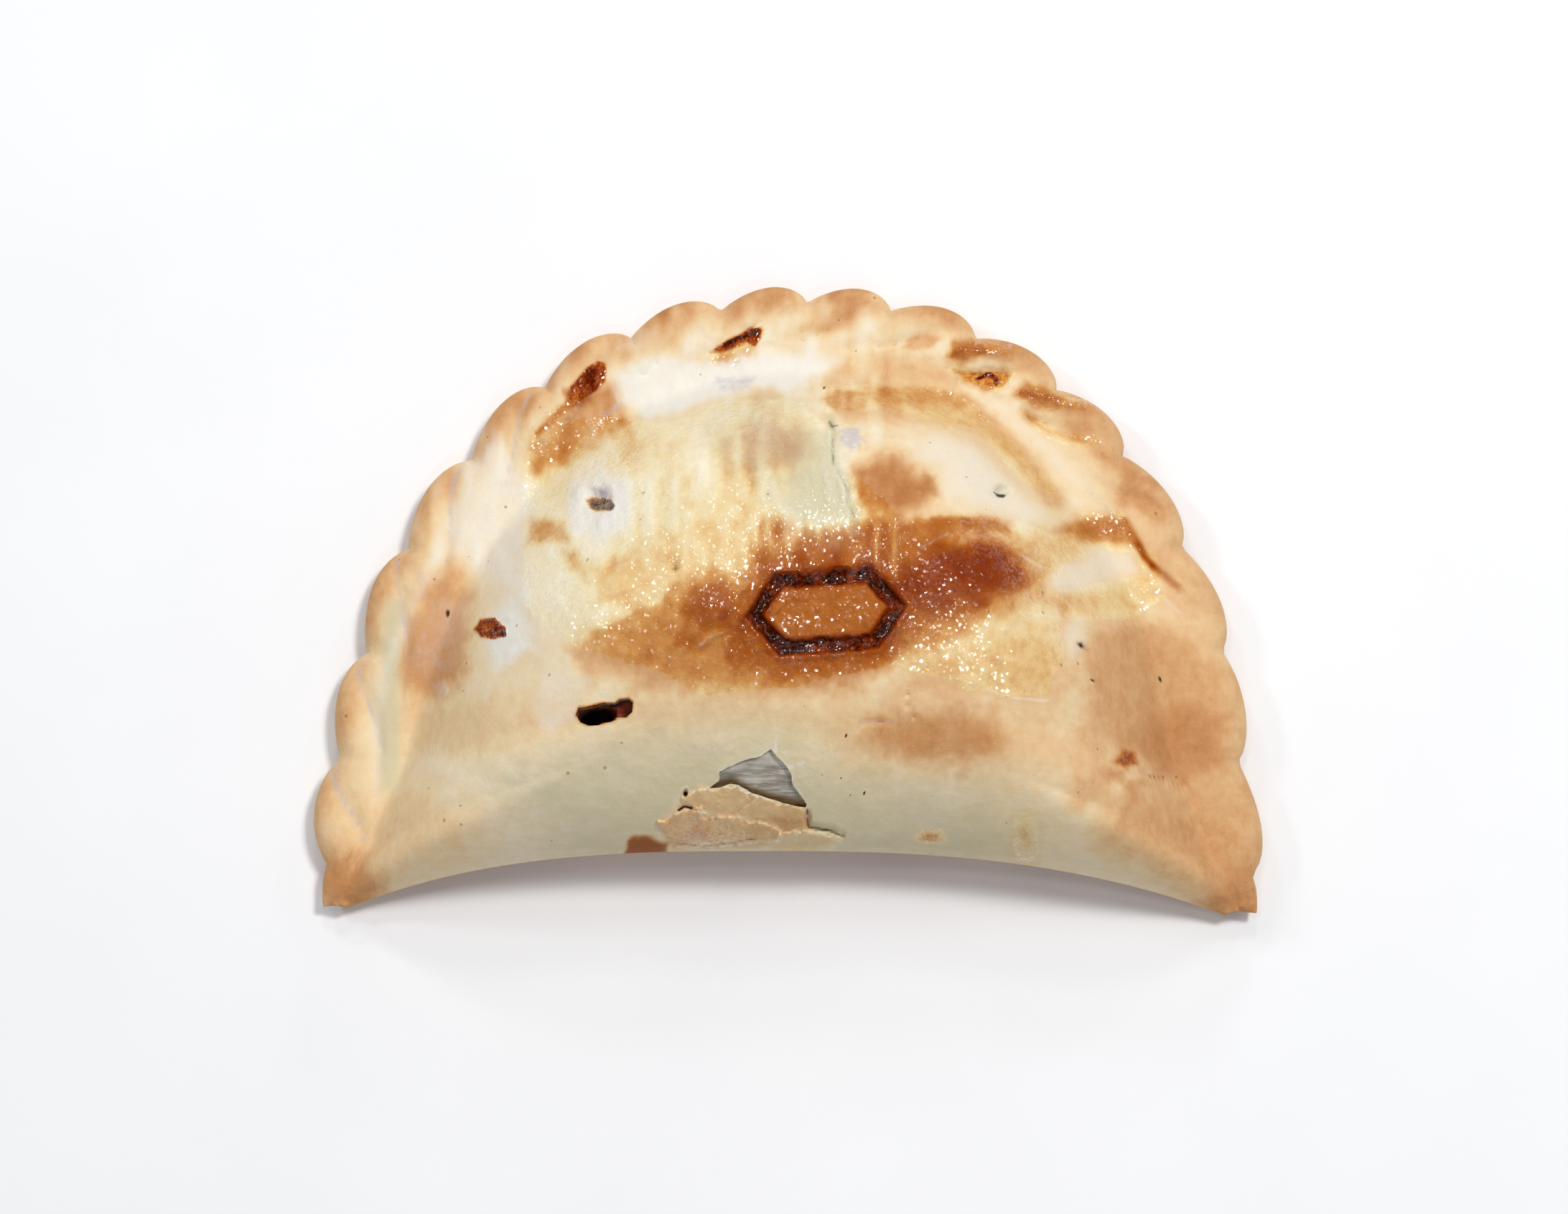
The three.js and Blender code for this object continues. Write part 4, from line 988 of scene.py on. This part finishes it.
# Lines over the patches, by look: level, half width, seen points.
LINES = {
    "brown": [
        (0.62, 0.6, [(-29.2, 70.3), (-31.5, 68.4), (-34, 66)]),
        (1.25, 0.25, [(-8.5, 78), (-7, 78.8), (-5.5, 79.3)]),
        (1.3, 0.22, [(26.2, 73.4), (27.6, 74.1), (28.7, 73.5), (28.6, 72.7)]),
        (0.7, 0.4, [(22.7, 76.4), (24, 77.2), (27, 76.9)]),
        (0.68, 0.45, [(32, 71.4), (37, 70.2)]),
        (0.6, 0.55, SLIT),
        (0.85, 0.3, SLIT[2:5]),
        (0.45, 0.9, ROPE_DENT),
        (0.42, 1.3, [(27.8, 66.4), (31.8, 63.2), (34.5, 60.4), (37, 56.8)]),
        (0.52, 0.5, [(12.3, 53.5), (12.2, 48)]),
        (0.52, 0.5, [(14.8, 54), (14.7, 47)]),
    ],
    "wash": [(1, 0.8, [(-29.2, 70.3), (-31.5, 68.4), (-34, 66)])],
    "pale": [
        (0.42, 0.3, ARCH),
        (0.5, 0.25, RIDGE),
        (0.25, 0.5, [(46.6, 20.2), (50, 19.3), (53, 19.1)]),
        (0.4, 0.35, SIDE_CRACK),
        (0.35, 0.3, [(41, 59.6), (45.6, 54.2)]),
        (0.35, 0.25, BLISTER_FOLD),
        (0.5, 0.4, TEAR[2:13]),
        (0.6, 0.35, [(-1.6, 22.4), (-1.4, 24.8)]),
        (0.5, 0.4, [(0, 20), (2.3, 20.8), (2.3, 20.2)]),
        (0.5, 0.3, PLATE_UPPER_TOP),
        (0.5, 0.3, PLATE_LOWER_TOP),
        (0.4, 0.3, LIP_TOP),
        (0.5, 0.35, [(-15, 9.2), (-10, 9.1), (-5, 9.8), (-1, 10)]),
    ],
    # Painted shade in the groove inside the left rope, and beside the long crack.
    "grey": [(1, 1.6, [(-54, 42), (-54, 35), (-54.6, 28), (-54.4, 18)]), (0.8, 0.8, LONG_CRACK[2:])],
    "ash": [(0.3, 0.3, STEEP_CRACK), (0.6, 0.25, SHORT_CRACK), (0.25, 0.25, HAIR_CRACK)],
    "char": [
        (0.5, 0.25, [(49.6, 18.9), (51.6, 18.8)]),
        (0.25, 0.2, [(52.5, 18.7), (55.7, 17.1)]),
        # Painted shade in the cracks, dark along their lines.
        (0.45, 0.2, LONG_CRACK[1:]),
        (0.55, 0.26, TEAR_CRACK),
        (0.9, 0.2, LEFT_CRACK),
        (0.45, 0.16, LOW_CRACK),
        (0.3, 0.14, PLATE_CRACK),
        # Painted shade in the pit right of the stamp.
        (0.3, 0.7, [(39.6, 37.2), (41, 36.5)]),
        (0.9, 0.34, [(40.2, 36.8), (41, 36.4)]),
        (0.8, 0.16, [(-24.5, 47.2), (-24.2, 46)]),
        # Painted shade in the pit by the long crack.
        (0.5, 0.18, [(5.3, 67.4), (7, 66.9)]),
    ],
    "shine": [(1.6, 0.6, [(12.3, 53.5), (12.2, 48)]), (1.6, 0.6, [(14.8, 54), (14.7, 47)])],
}

# Burnt specks: place and radius.
SPECKS = [
    (-46.4, 41.2, 0.4), (-13.9, 16.6, 0.4), (41.7, 32.1, 0.28), (51.1, 32.1, 0.28), (55.9, 42.9, 0.3),
    (59.3, 26.7, 0.3), (-15.4, 47.6, 0.3), (7.4, 18.7, 0.15), (8.1, 24.5, 0.15), (8.7, 16.3, 0.15),
    (-5.6, 25.9, 0.15), (10.6, 16.6, 0.15), (5.1, 72.2, 0.25), (16.5, 28.6, 0.2), (19.3, 10.5, 0.3),
    (-41.8, 63, 0.3), (-52.5, 40.5, 0.25), (-35, 57.4, 0.15), (-30.4, 64.6, 0.15),
]

# How brown the rope is, by pinch, and how far the tan reaches in, at the horns and at the top.
RIM_BROWN = [
    (0, 0.4), (3, 0.36), (5, 0.42), (7, 0.53), (9, 0.53), (12, 0.5), (15, 0.46), (18, 0.44),
]
TAN_REACH = (7.5, 3.8)


def first_looks(place):
    """Looks before any mark: slow changes, and the tan of the rope."""
    u, v = place["u"], place["v"]
    brown = 0.13 + 0.05 * noise(u, v, 16, 64, 2) + 0.03 * noise(u, v, 4, 65, 3)
    rounded = np.sin(np.pi * (place["pinches"] % 1)) ** 0.7
    top = ease((place["pinches"] - 4) / 3)
    reach = lerp(*TAN_REACH, top)
    tan = 1 - ease((place["from_rope"] + 0.6 * noise(u, v, 4, 66, 2) - reach * 0.3) / reach)
    tan = tan * lerp(1, 0.35 + 0.65 * rounded, top)
    rim = np.interp(place["pinches"], *zip(*RIM_BROWN)) + 0.05 * noise(u, v, 3, 67)
    brown = lerp(brown, rim, tan)
    looks = {look: np.zeros(np.shape(u)) for look in OTHER_LOOKS}
    looks["shine"] = 0.45 + 0.4 * noise(u, v, 3, 68, 2)
    # Lavender-grey lines in the left rope's creases: painted shade in them.
    across, fade = twist_share(place)
    crease = np.exp(-((np.minimum(across, 1 - across) / 0.03) ** 2)) * fade
    looks["ash"] = 0.55 * crease * ease((place["pinches"] - 11) / 2)
    return looks | {"brown": brown}


def mark_looks(place):
    looks = first_looks(place)
    u, v = place["u"], place["v"]
    wander = 0.7 * noise(u, v, 3, 61, 3) + 0.4 * noise(u, v, 0.9, 62, 2)
    broken = ease(0.9 + 1.5 * noise(u, v, 1.2, 63, 2))
    for look, rows in PATCHES.items():
        for level, soft, ragged, corners in rows:
            depth = inside_depth(u, v, corners, 2 * soft + 2 * ragged)
            share = ease(0.5 + (depth + ragged * wander) / (2 * soft))
            looks[look] = lerp(looks[look], level, share)
    # The wash's wrinkles: browner in the grooves, where the wash pools, and paler on the crests and
    # blisters, a painted highlight on them.
    crests = wash_wrinkles(u, v)
    looks["brown"] = looks["brown"] - 0.6 * crests - 0.04 * looks["wash"] * noise(u, v, 1.4, 45, 2)
    looks["pale"] = looks["pale"] + 1.3 * np.maximum(crests - 0.03, 0)
    looks["shine"] = looks["shine"] + 2 * crests
    for look, rows in LINES.items():
        for level, half, points in rows:
            distance, _ = from_line(u, v, points, 6 * half)
            share = np.exp(-(((distance + 0.3 * half * wander) / half) ** 2))
            if look in BROKEN_LOOKS:
                share = share * lerp(0.3, 1, broken)
            looks[look] = lerp(looks[look], level, share)
    for x, y, radius in SPECKS:
        speck = np.exp(-(((u - x) ** 2 + (v - y) ** 2) / (0.8 * radius) ** 2))
        looks["char"] = np.maximum(looks["char"], speck)
    return looks


def stamp_looks(looks, place):
    """The scorched frame of the stamp, darkest in its groove."""
    depth = hexagon_depth(place["x"], place["y"])
    ring = 0.22 * np.exp(-np.maximum(-depth, 0) / 1.3)
    within = ease((depth - STAMP_STROKE) / 0.8)
    looks["brown"] = lerp(looks["brown"] + ring, 0.69, within)
    groove = stamp_groove(place)
    looks["juice"] = np.maximum(looks["juice"], groove)
    looks["brown"] = lerp(looks["brown"], 1.12 + 0.15 * noise(place["u"], place["v"], 1.5, 22, 2), groove)


def set_attribute(piece, name, values):
    attribute = piece.data.attributes.new(name, "FLOAT", "POINT")
    attribute.data.foreach_set("value", np.asarray(values, np.float32))


def paint_crust(crust):
    """Looks for every vertex: marks on top, tray-browning below, bare crumb where it is cut."""
    x, y, z = vertex_places(crust)
    place = unpinched(x, y)
    below = under_height(place)
    upper = ease((z - lerp(below, place["top"], 0.5)) / 2 + 0.5)
    cut_away = ease((top_height(place) - z - 0.35) / 0.6) * ease((z - below - 1.2) / 0.8)
    cut_away = cut_away * ease((place["from_fold"] - 2) / 2) * ease((place["from_rope"] - 4) / 2)
    looks = mark_looks(place)
    stamp_looks(looks, place)
    tray = 0.42 + 0.2 * noise(x, y, 14, 91, 3) + 0.1 * noise(x, y, 3, 92, 2)
    tray = tray + 0.12 * ease((place["from_rope"] - 2) / 6)
    near_vent = ease(0.5 + inside_depth(place["u"], place["v"], VENT) / 2)
    cut_away = cut_away * (1 - near_vent)
    looks["brown"] = lerp(lerp(tray, looks["brown"], upper), 0.2, cut_away)
    for look in OTHER_LOOKS:
        looks[look] = looks[look] * upper * (1 - cut_away)
    for look, values in looks.items():
        set_attribute(crust, look, values)
    set_attribute(crust, "crumb", cut_away)


# ---- Materials -----------------------------------------------------------------------------

# Colours as they look on a screen, by how brown the crust is.
WASHED = [(0, "F4E9CE"), (0.2, "EEDCB0"), (0.35, "E6C58C"), (0.5, "CE9250"), (0.65, "B26828"),
          (0.8, "9E4E10"), (0.95, "843000"), (1.15, "602406"), (1.3, "461C0A")]
DRY = [(0, "EFE2CA"), (0.2, "E9D0A6"), (0.35, "E0B98A"), (0.5, "CE9A69"), (0.65, "BA7E4C"),
       (0.8, "A46130"), (1.0, "7D3E18"), (1.3, "4B240C")]
JUICE = [(0.5, "D79A4C"), (0.66, "C26E20"), (0.8, "A84A0A"), (0.95, "822C04"), (1.15, "4C1602"),
         (1.4, "200802")]
FLOURY = "ECE7DC"
# Grey of damp patches, also used as painted shade.
DAMP_AND_SHADE = "CBC4A4"
# Lavender-grey of flakes, also painted shade in creases and in the poke's crater.
ASHEN = "BDB8C2"
# Burnt black of specks, also painted shade in pits and cracks.
BURNT_AND_SHADE = "432814"
CRUMB = "E9D9B4"
FRECKLE = "8A4E22"
FRECKLE_SPACING = 2.4
FRECKLE_CHANCE = 0.72  # of no freckle in a cell
FRECKLE_SIZE = 0.11
BUBBLE_SIZE = 0.45
MATT, GLOSSY = 0.62, 0.2  # roughness
GLINT_SIZE = 0.34
GLINT_LEAN = 0.44
CRUST_SHADER = {
    "Coat Roughness": 0.15,
    "Coat IOR": 1.6,
    "Subsurface Weight": 0.12,
    "Subsurface Radius": (1.0, 0.55, 0.3),
    "Subsurface Scale": 1.2 * MM,
    "Specular IOR Level": 0.06,
}
FILLING_DARK, FILLING_LIGHT, FIBRE = "928A7E", "CFC9BE", "E2DCD2"
# Painted shade under the tear's sill, juice under the vent, and painted near-black shade deep in its
# well.
FILLING_SILL_SHADE, VENT_JUICE, VENT_WELL_SHADE = "7C6438", "842A08", "120603"
FLOOR_DIM, FLOOR_BRIGHT = "F4F5F8", "F9FAFC"


def linear(code):
    channels = [int(code[i : i + 2], 16) / 255 for i in (0, 2, 4)]
    return (*[c / 12.92 if c < 0.04045 else ((c + 0.055) / 1.055) ** 2.4 for c in channels], 1.0)


class Nodes:
    """A short way to write a material's nodes."""

    def __init__(self, name):
        self.material = bpy.data.materials.new(name)
        self.material.use_nodes = True
        self.tree = self.material.node_tree
        self.shader = self.tree.nodes["Principled BSDF"]

    def link(self, source, socket):
        if isinstance(source, bpy.types.NodeSocket):
            self.tree.links.new(source, socket)
        else:
            socket.default_value = source

    def new(self, kind, inputs, **settings):
        """A node with its settings, and with a value or another node's output for each input."""
        node = self.tree.nodes.new("ShaderNode" + kind)
        for name, value in settings.items():
            setattr(node, name, value)
        for name, source in inputs.items():
            self.link(source, node.inputs[name])
        return node

    def settle(self, inputs):
        """The same for the shader's own inputs."""
        for name, source in inputs.items():
            self.link(source, self.shader.inputs[name])

    def attribute(self, name):
        return self.new("Attribute", {}, attribute_name=name).outputs["Fac"]

    def place(self):
        return self.new("TexCoord", {}).outputs["Object"]

    def math(self, operation, a, b=0.0, c=0.0):
        return self.new("Math", {0: a, 1: b, 2: c}, operation=operation).outputs[0]

    def add(self, value, other, share):
        """The value plus a share of the other."""
        return self.math("MULTIPLY_ADD", other, share, value)

    def noise(self, size, detail=3.0, roughness=0.55, stretch=(1, 1, 1)):
        """Noise about 0, with features of that size in millimetres."""
        place = self.new("Mapping", {"Vector": self.place(), "Scale": stretch}).outputs["Vector"]
        inputs = {"Vector": place, "Scale": 1 / (size * MM), "Detail": detail, "Roughness": roughness}
        return self.math("SUBTRACT", self.new("TexNoise", inputs).outputs["Fac"], 0.5)

    def cells(self, size):
        """Distance to scattered points, and three random numbers for each."""
        cells = self.new("TexVoronoi", {"Vector": self.place(), "Scale": 1 / (size * MM)})
        chances = self.new("SeparateXYZ", {"Vector": cells.outputs["Color"]}).outputs
        return cells.outputs["Distance"], chances

    def flakes(self, size, tilt):
        """A normal that leans at random in each small cell, and a random number for each."""
        _, chances = self.cells(size)
        sides = {axis: self.math("MULTIPLY_ADD", chances[axis], tilt, -tilt / 2) for axis in "XY"}
        lean = self.new("CombineXYZ", sides).outputs["Vector"]
        normal = self.new("NewGeometry", {}).outputs["Normal"]
        total = self.new("VectorMath", {0: lean, 1: normal}).outputs["Vector"]
        return self.new("VectorMath", {0: total}, operation="NORMALIZE").outputs["Vector"], chances["Z"]

    def spread(self, value, low, high, to_low=0.0, to_high=1.0):
        """Eases the value from one range to another."""
        inputs = {"Value": value, "From Min": low, "From Max": high, "To Min": to_low, "To Max": to_high}
        return self.new("MapRange", inputs, interpolation_type="SMOOTHSTEP").outputs["Result"]

    def ramp(self, value, stops):
        last = stops[-1][0]
        node = self.new("ValToRGB", {"Fac": self.math("DIVIDE", value, last)})
        elements = node.color_ramp.elements
        while len(elements) < len(stops):
            elements.new(1.0)
        for element, (at, code) in zip(elements, stops):
            element.position = at / last
            element.color = linear(code)
        return node.outputs["Color"]

    def mix(self, share, a, b):
        return self.new("Mix", {"Factor": share, "A": a, "B": b}, data_type="RGBA").outputs["Result"]

    def bump(self, height, distance, normal=None, strength=1.0):
        inputs = {"Strength": strength, "Distance": distance * MM, "Height": height}
        if normal is not None:
            inputs["Normal"] = normal
        return self.new("Bump", inputs).outputs["Normal"]


def freckles(n):
    """1 on small round freckles, in some of the cells."""
    distance, chances = n.cells(FRECKLE_SPACING)
    size = n.spread(chances["X"], FRECKLE_CHANCE, 1.0, 0.0, FRECKLE_SIZE)
    there = n.math("GREATER_THAN", chances["X"], FRECKLE_CHANCE)
    return n.math("MULTIPLY", n.math("LESS_THAN", distance, size), there)


def crust_colour(n, mottle, flecks, wash, juice, bubble):
    """Baked dough, brushed or dry, under what lies on it."""
    grain = n.math("MULTIPLY", n.noise(0.3, 2.0), n.attribute("brown"))
    toasted = n.add(n.add(n.math("MULTIPLY", mottle, 0.24), flecks, 0.09), grain, 0.16)
    brown = n.math("ADD", n.attribute("brown"), toasted)
    colour = n.mix(wash, n.ramp(brown, DRY), n.ramp(brown, WASHED))
    # Greyed where damp, and by painted shade on the lower half, in grooves, pits and by the long crack.
    damp_and_shade = n.spread(n.add(n.attribute("grey"), mottle, 0.5), 0, 1, 0, 0.8)
    colour = n.mix(damp_and_shade, colour, linear(DAMP_AND_SHADE))
    pale = n.spread(n.add(n.add(n.attribute("pale"), mottle, 0.5), flecks, 0.25), 0.1, 0.95)
    colour = n.mix(pale, colour, linear(FLOURY))
    # Lavender-grey on flakes, and painted shade in the rope's creases and the poke's crater.
    scaly = n.spread(n.add(flecks, mottle, 1.0), -0.12, 0.1, 0.5, 1.3)
    colour = n.mix(n.math("MULTIPLY", n.attribute("ash"), scaly), colour, linear(ASHEN))
    colour = n.mix(n.attribute("crumb"), colour, linear(CRUMB))
    boiled = n.add(n.add(n.attribute("brown"), bubble, 0.35), flecks, 0.5)
    colour = n.mix(juice, colour, n.ramp(n.math("SUBTRACT", boiled, 0.14), JUICE))
    colour = n.mix(n.math("MULTIPLY", freckles(n), 0.5), colour, linear(FRECKLE))
    # Burnt black on specks, and painted shade in pits and cracks.
    charred_and_shaded = n.spread(n.add(n.attribute("char"), flecks, 0.3), 0.15, 0.7)
    return n.mix(charred_and_shaded, colour, linear(BURNT_AND_SHADE))


def crust_bumps(n, gloss, juice, bubble):
    """Pores and blisters, shallower where the crust is matt, and bubbles in set juice."""
    skin = n.bump(n.noise(0.35, 2.0), 0.05, None, n.spread(gloss, 0, 1, 0.5, 1.0))
    skin = n.bump(n.noise(0.9, 2.0), 0.16, skin, n.spread(gloss, 0, 1, 0.3, 1.0))
    skin = n.bump(bubble, 0.15, skin, juice)
    return n.bump(n.noise(3.0, 3.0), 0.3, skin, 0.6)


def crust_material():
    n = Nodes("crust_baked")
    mottle, flecks = n.noise(2.5, 4.0, 0.6), n.noise(0.8, 2.0, 0.5, (1, 0.5, 1))
    wash = n.spread(n.add(n.attribute("wash"), mottle, 0.3), 0.3, 0.7)
    juice = n.spread(n.add(n.attribute("juice"), flecks, 0.3), 0.35, 0.65)
    bubble, _ = n.cells(BUBBLE_SIZE)
    gloss = n.math("MULTIPLY", wash, n.spread(n.noise(7, 3.0), -0.15, 0.15, 0.55, 1.0))
    gloss = n.math("MAXIMUM", gloss, juice)
    glint, lucky = n.flakes(GLINT_SIZE, GLINT_LEAN)
    glinting = n.math("LESS_THAN", lucky, n.attribute("shine"))
    n.settle(CRUST_SHADER)
    n.settle({
        "Base Color": crust_colour(n, mottle, flecks, wash, juice, bubble),
        "Roughness": n.spread(gloss, 0, 1, MATT, GLOSSY),
        "Normal": crust_bumps(n, gloss, juice, bubble),
        "Coat Weight": n.math("MULTIPLY", gloss, glinting),
        "Coat Normal": glint,
    })
    return n.material


def filling_material():
    n = Nodes("filling_cooked")
    streaks = n.noise(1.6, 4.0, 0.65, (0.35, 1.6, 1))
    colour = n.mix(n.spread(streaks, -0.15, 0.2), linear(FILLING_DARK), linear(FILLING_LIGHT))
    fibres = n.noise(0.5, 2.0, 0.5, (0.15, 2.2, 1))
    colour = n.mix(n.spread(fibres, 0.08, 0.25, 0, 0.7), colour, linear(FIBRE))
    # Painted shade under the sill and deep in the vent's well, and juice under the vent.
    for look, code in (("shade", FILLING_SILL_SHADE), ("vent", VENT_JUICE), ("black", VENT_WELL_SHADE)):
        colour = n.mix(n.attribute(look), colour, linear(code))
    n.settle({"Base Color": colour, "Normal": n.bump(streaks, 0.3), "Roughness": 0.45,
              "Specular IOR Level": 0.25})
    return n.material


def floor_material():
    n = Nodes("floor_pale")
    tone = n.spread(n.noise(40, 3.0), -0.5, 0.5)
    n.settle({"Base Color": n.mix(tone, linear(FLOOR_DIM), linear(FLOOR_BRIGHT)), "Roughness": 0.8})
    return n.material


# ---- Pieces --------------------------------------------------------------------------------


def make_crust():
    crust = mesh_object("crust_skin", *loft(dough_rings()))
    for area in FINE:
        refine(crust, area)
    raise_dough(crust)
    room = loft(hollow_rings(WALL, FLOOR_WALL, ROOM_STEPS, ROOM_CUTS))
    cut(crust, mesh_object("room", *room))
    cut(crust, column("tear_column", TEAR, 0.12, 101))
    cut(crust, column("vent_column", VENT, 0.1, 105))
    return crust


def mesh_parts(piece):
    """A piece's points and faces."""
    return vertex_places(piece).T, [tuple(face.vertices) for face in piece.data.polygons]


def filling_rings():
    """A filling close under the crust where it shows in the tear, and sunk elsewhere."""
    inset, floor = WALL + FILLING_GAP, FLOOR_WALL + FILLING_GAP
    rings = hollow_rings(inset, floor, FILLING_STEPS, FILLING_CUTS)
    x, y, z = np.moveaxis(rings, -1, 0)
    vault = (np.arange(rings.shape[1]) < FILLING_STEPS) & (z > FLOOR_WALL + 4)
    lumps = 0.5 * noise(x, y, 5, 111, 2) + 0.25 * noise(x * 0.5, y, 1.5, 112, 2)
    place = place_of(x, y)
    u, v = place["u"], place["v"]
    bared = ease((inside_depth(u, v, TEAR) + 1.8) / 0.6)
    sill, _ = from_line(u, v, TEAR_SILL)
    close = bared * lerp(0.7, 1, ease(sill / 1.1))
    well = 1 - ease((oval(u, v, *VENT_WELL) - 0.8) / 0.5)
    raised = ease(0.5 + inside_depth(u, v, VENT) / 1.2) * (1 - well)
    near = place["top"] + swell_relief(place) - 0.9 - 0.3 * lumps
    shaped = lerp(z - 0.75 - lumps, near, close) + 1.6 * raised - 4.5 * well
    rings[:, :, 2] = np.where(vault, shaped, z)
    return rings


def paint_filling(filling):
    """Painted shade along the tear's sill, juice under the vent, and painted black shade deep in its
    well.
    """
    x, y, _ = vertex_places(filling)
    place = place_of(x, y)
    u, v = place["u"], place["v"]
    sill, _ = from_line(u, v, TEAR_SILL)
    set_attribute(filling, "shade", 0.9 * (1 - ease((sill - 0.2) / 1.1)))
    set_attribute(filling, "vent", ease(0.5 + inside_depth(u, v, VENT) / 2))
    set_attribute(filling, "black", 1 - ease((oval(u, v, *VENT_WELL) - 0.9) / 0.3))


def make_filling(crust):
    filling = mesh_object("filling_mass", *loft(filling_rings()))
    cut(filling, mesh_object("crust_copy", *mesh_parts(crust)))
    paint_filling(filling)
    return filling


def finish_piece(piece, node, material, shift):
    piece.data.transform(shift)
    piece.data.materials.clear()
    piece.data.materials.append(material)
    piece.data.shade_smooth()
    piece.data.set_sharp_from_angle(angle=SHARP_ANGLE)
    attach(piece, "root")
    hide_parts(node)


def plan_origin(crust):
    """Where the plan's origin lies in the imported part's metres."""
    x, y, z = vertex_places(crust)
    middle = (CAD_LOW + CAD_HIGH) / 2
    own = Vector(((x.min() + x.max()) / 2 * MM, (y.min() + y.max()) / 2 * MM, z.min() * MM))
    return Vector((middle.x, middle.y, CAD_LOW.z)) - own


def build_object():
    crust = make_crust()
    filling = make_filling(crust)
    origin = plan_origin(crust)
    paint_crust(crust)
    shift = Matrix.Translation(origin) @ Matrix.Scale(MM, 4)
    finish_piece(crust, "crust", crust_material(), shift)
    finish_piece(filling, "filling", filling_material(), shift)
    return origin


# ---- Stage ---------------------------------------------------------------------------------

# Lights: name, place in metres, power, size and, if not white, colour.
LIGHTS = [
    ("key", (0.3, 0.24, 0.85), 4.8, 0.16, (1, 0.98, 0.95)),
    ("side", (-0.7, 0.35, 0.65), 1.3, 0.12),
    ("top", (0, 0.62, 0.75), 0.7, 0.1),
    ("back", (0.45, 0.7, 0.45), 0.3, 0.08),
    ("left", (-0.35, 0.72, 0.6), 0.7, 0.1),
    ("low", (0.1, -0.35, 0.85), 0.3, 0.06),
    ("above", (-0.2, 0.1, 0.97), 0.5, 0.1),
    ("fill", (-0.65, 0, 0.6), 0.1, 0.8),
    ("front", (0.1, -0.7, 0.55), 0.4, 0.6),
]
SKY_COLOUR = (0.9, 0.94, 1, 1)
SKY_STRENGTH = 0.25
FLOOR_HALF = 1.6


def make_floor():
    corners = [(FLOOR_HALF * i, FLOOR_HALF * j, 0) for i, j in ((-1, -1), (1, -1), (1, 1), (-1, 1))]
    floor = mesh_object("floor", corners, [(0, 1, 2, 3)])
    floor.location.z = CAD_LOW.z
    floor.data.materials.append(floor_material())


def make_light(name, place, energy, size, colour=(1, 1, 1)):
    data = bpy.data.lights.new(name, "AREA")
    data.energy, data.size, data.color = energy, size, colour
    light = add_object(name, data)
    light.location = place
    light.rotation_euler = (-Vector(place)).to_track_quat("-Z", "Y").to_euler()


def make_camera(origin):
    data = bpy.data.cameras.new("camera")
    data.sensor_width = SENSOR_WIDTH
    data.lens = SENSOR_WIDTH * CAMERA_DISTANCE / FRAME_WIDTH
    camera = add_object("camera", data)
    spot = CAMERA_TARGET + CAMERA_BACK * CAMERA_DISTANCE
    camera.location = Vector(spot * MM) + origin
    camera.rotation_euler = (CAMERA_TILT, 0, 0)
    bpy.context.scene.camera = camera


def make_sky():
    world = bpy.data.worlds.new("world")
    bpy.context.scene.world = world
    world.use_nodes = True
    background = world.node_tree.nodes["Background"]
    background.inputs["Color"].default_value = SKY_COLOUR
    background.inputs["Strength"].default_value = SKY_STRENGTH


def make_stage(origin):
    make_floor()
    for light in LIGHTS:
        make_light(*light)
    make_sky()
    make_camera(origin)
    bpy.context.scene.view_settings.view_transform = "Standard"


make_stage(build_object())
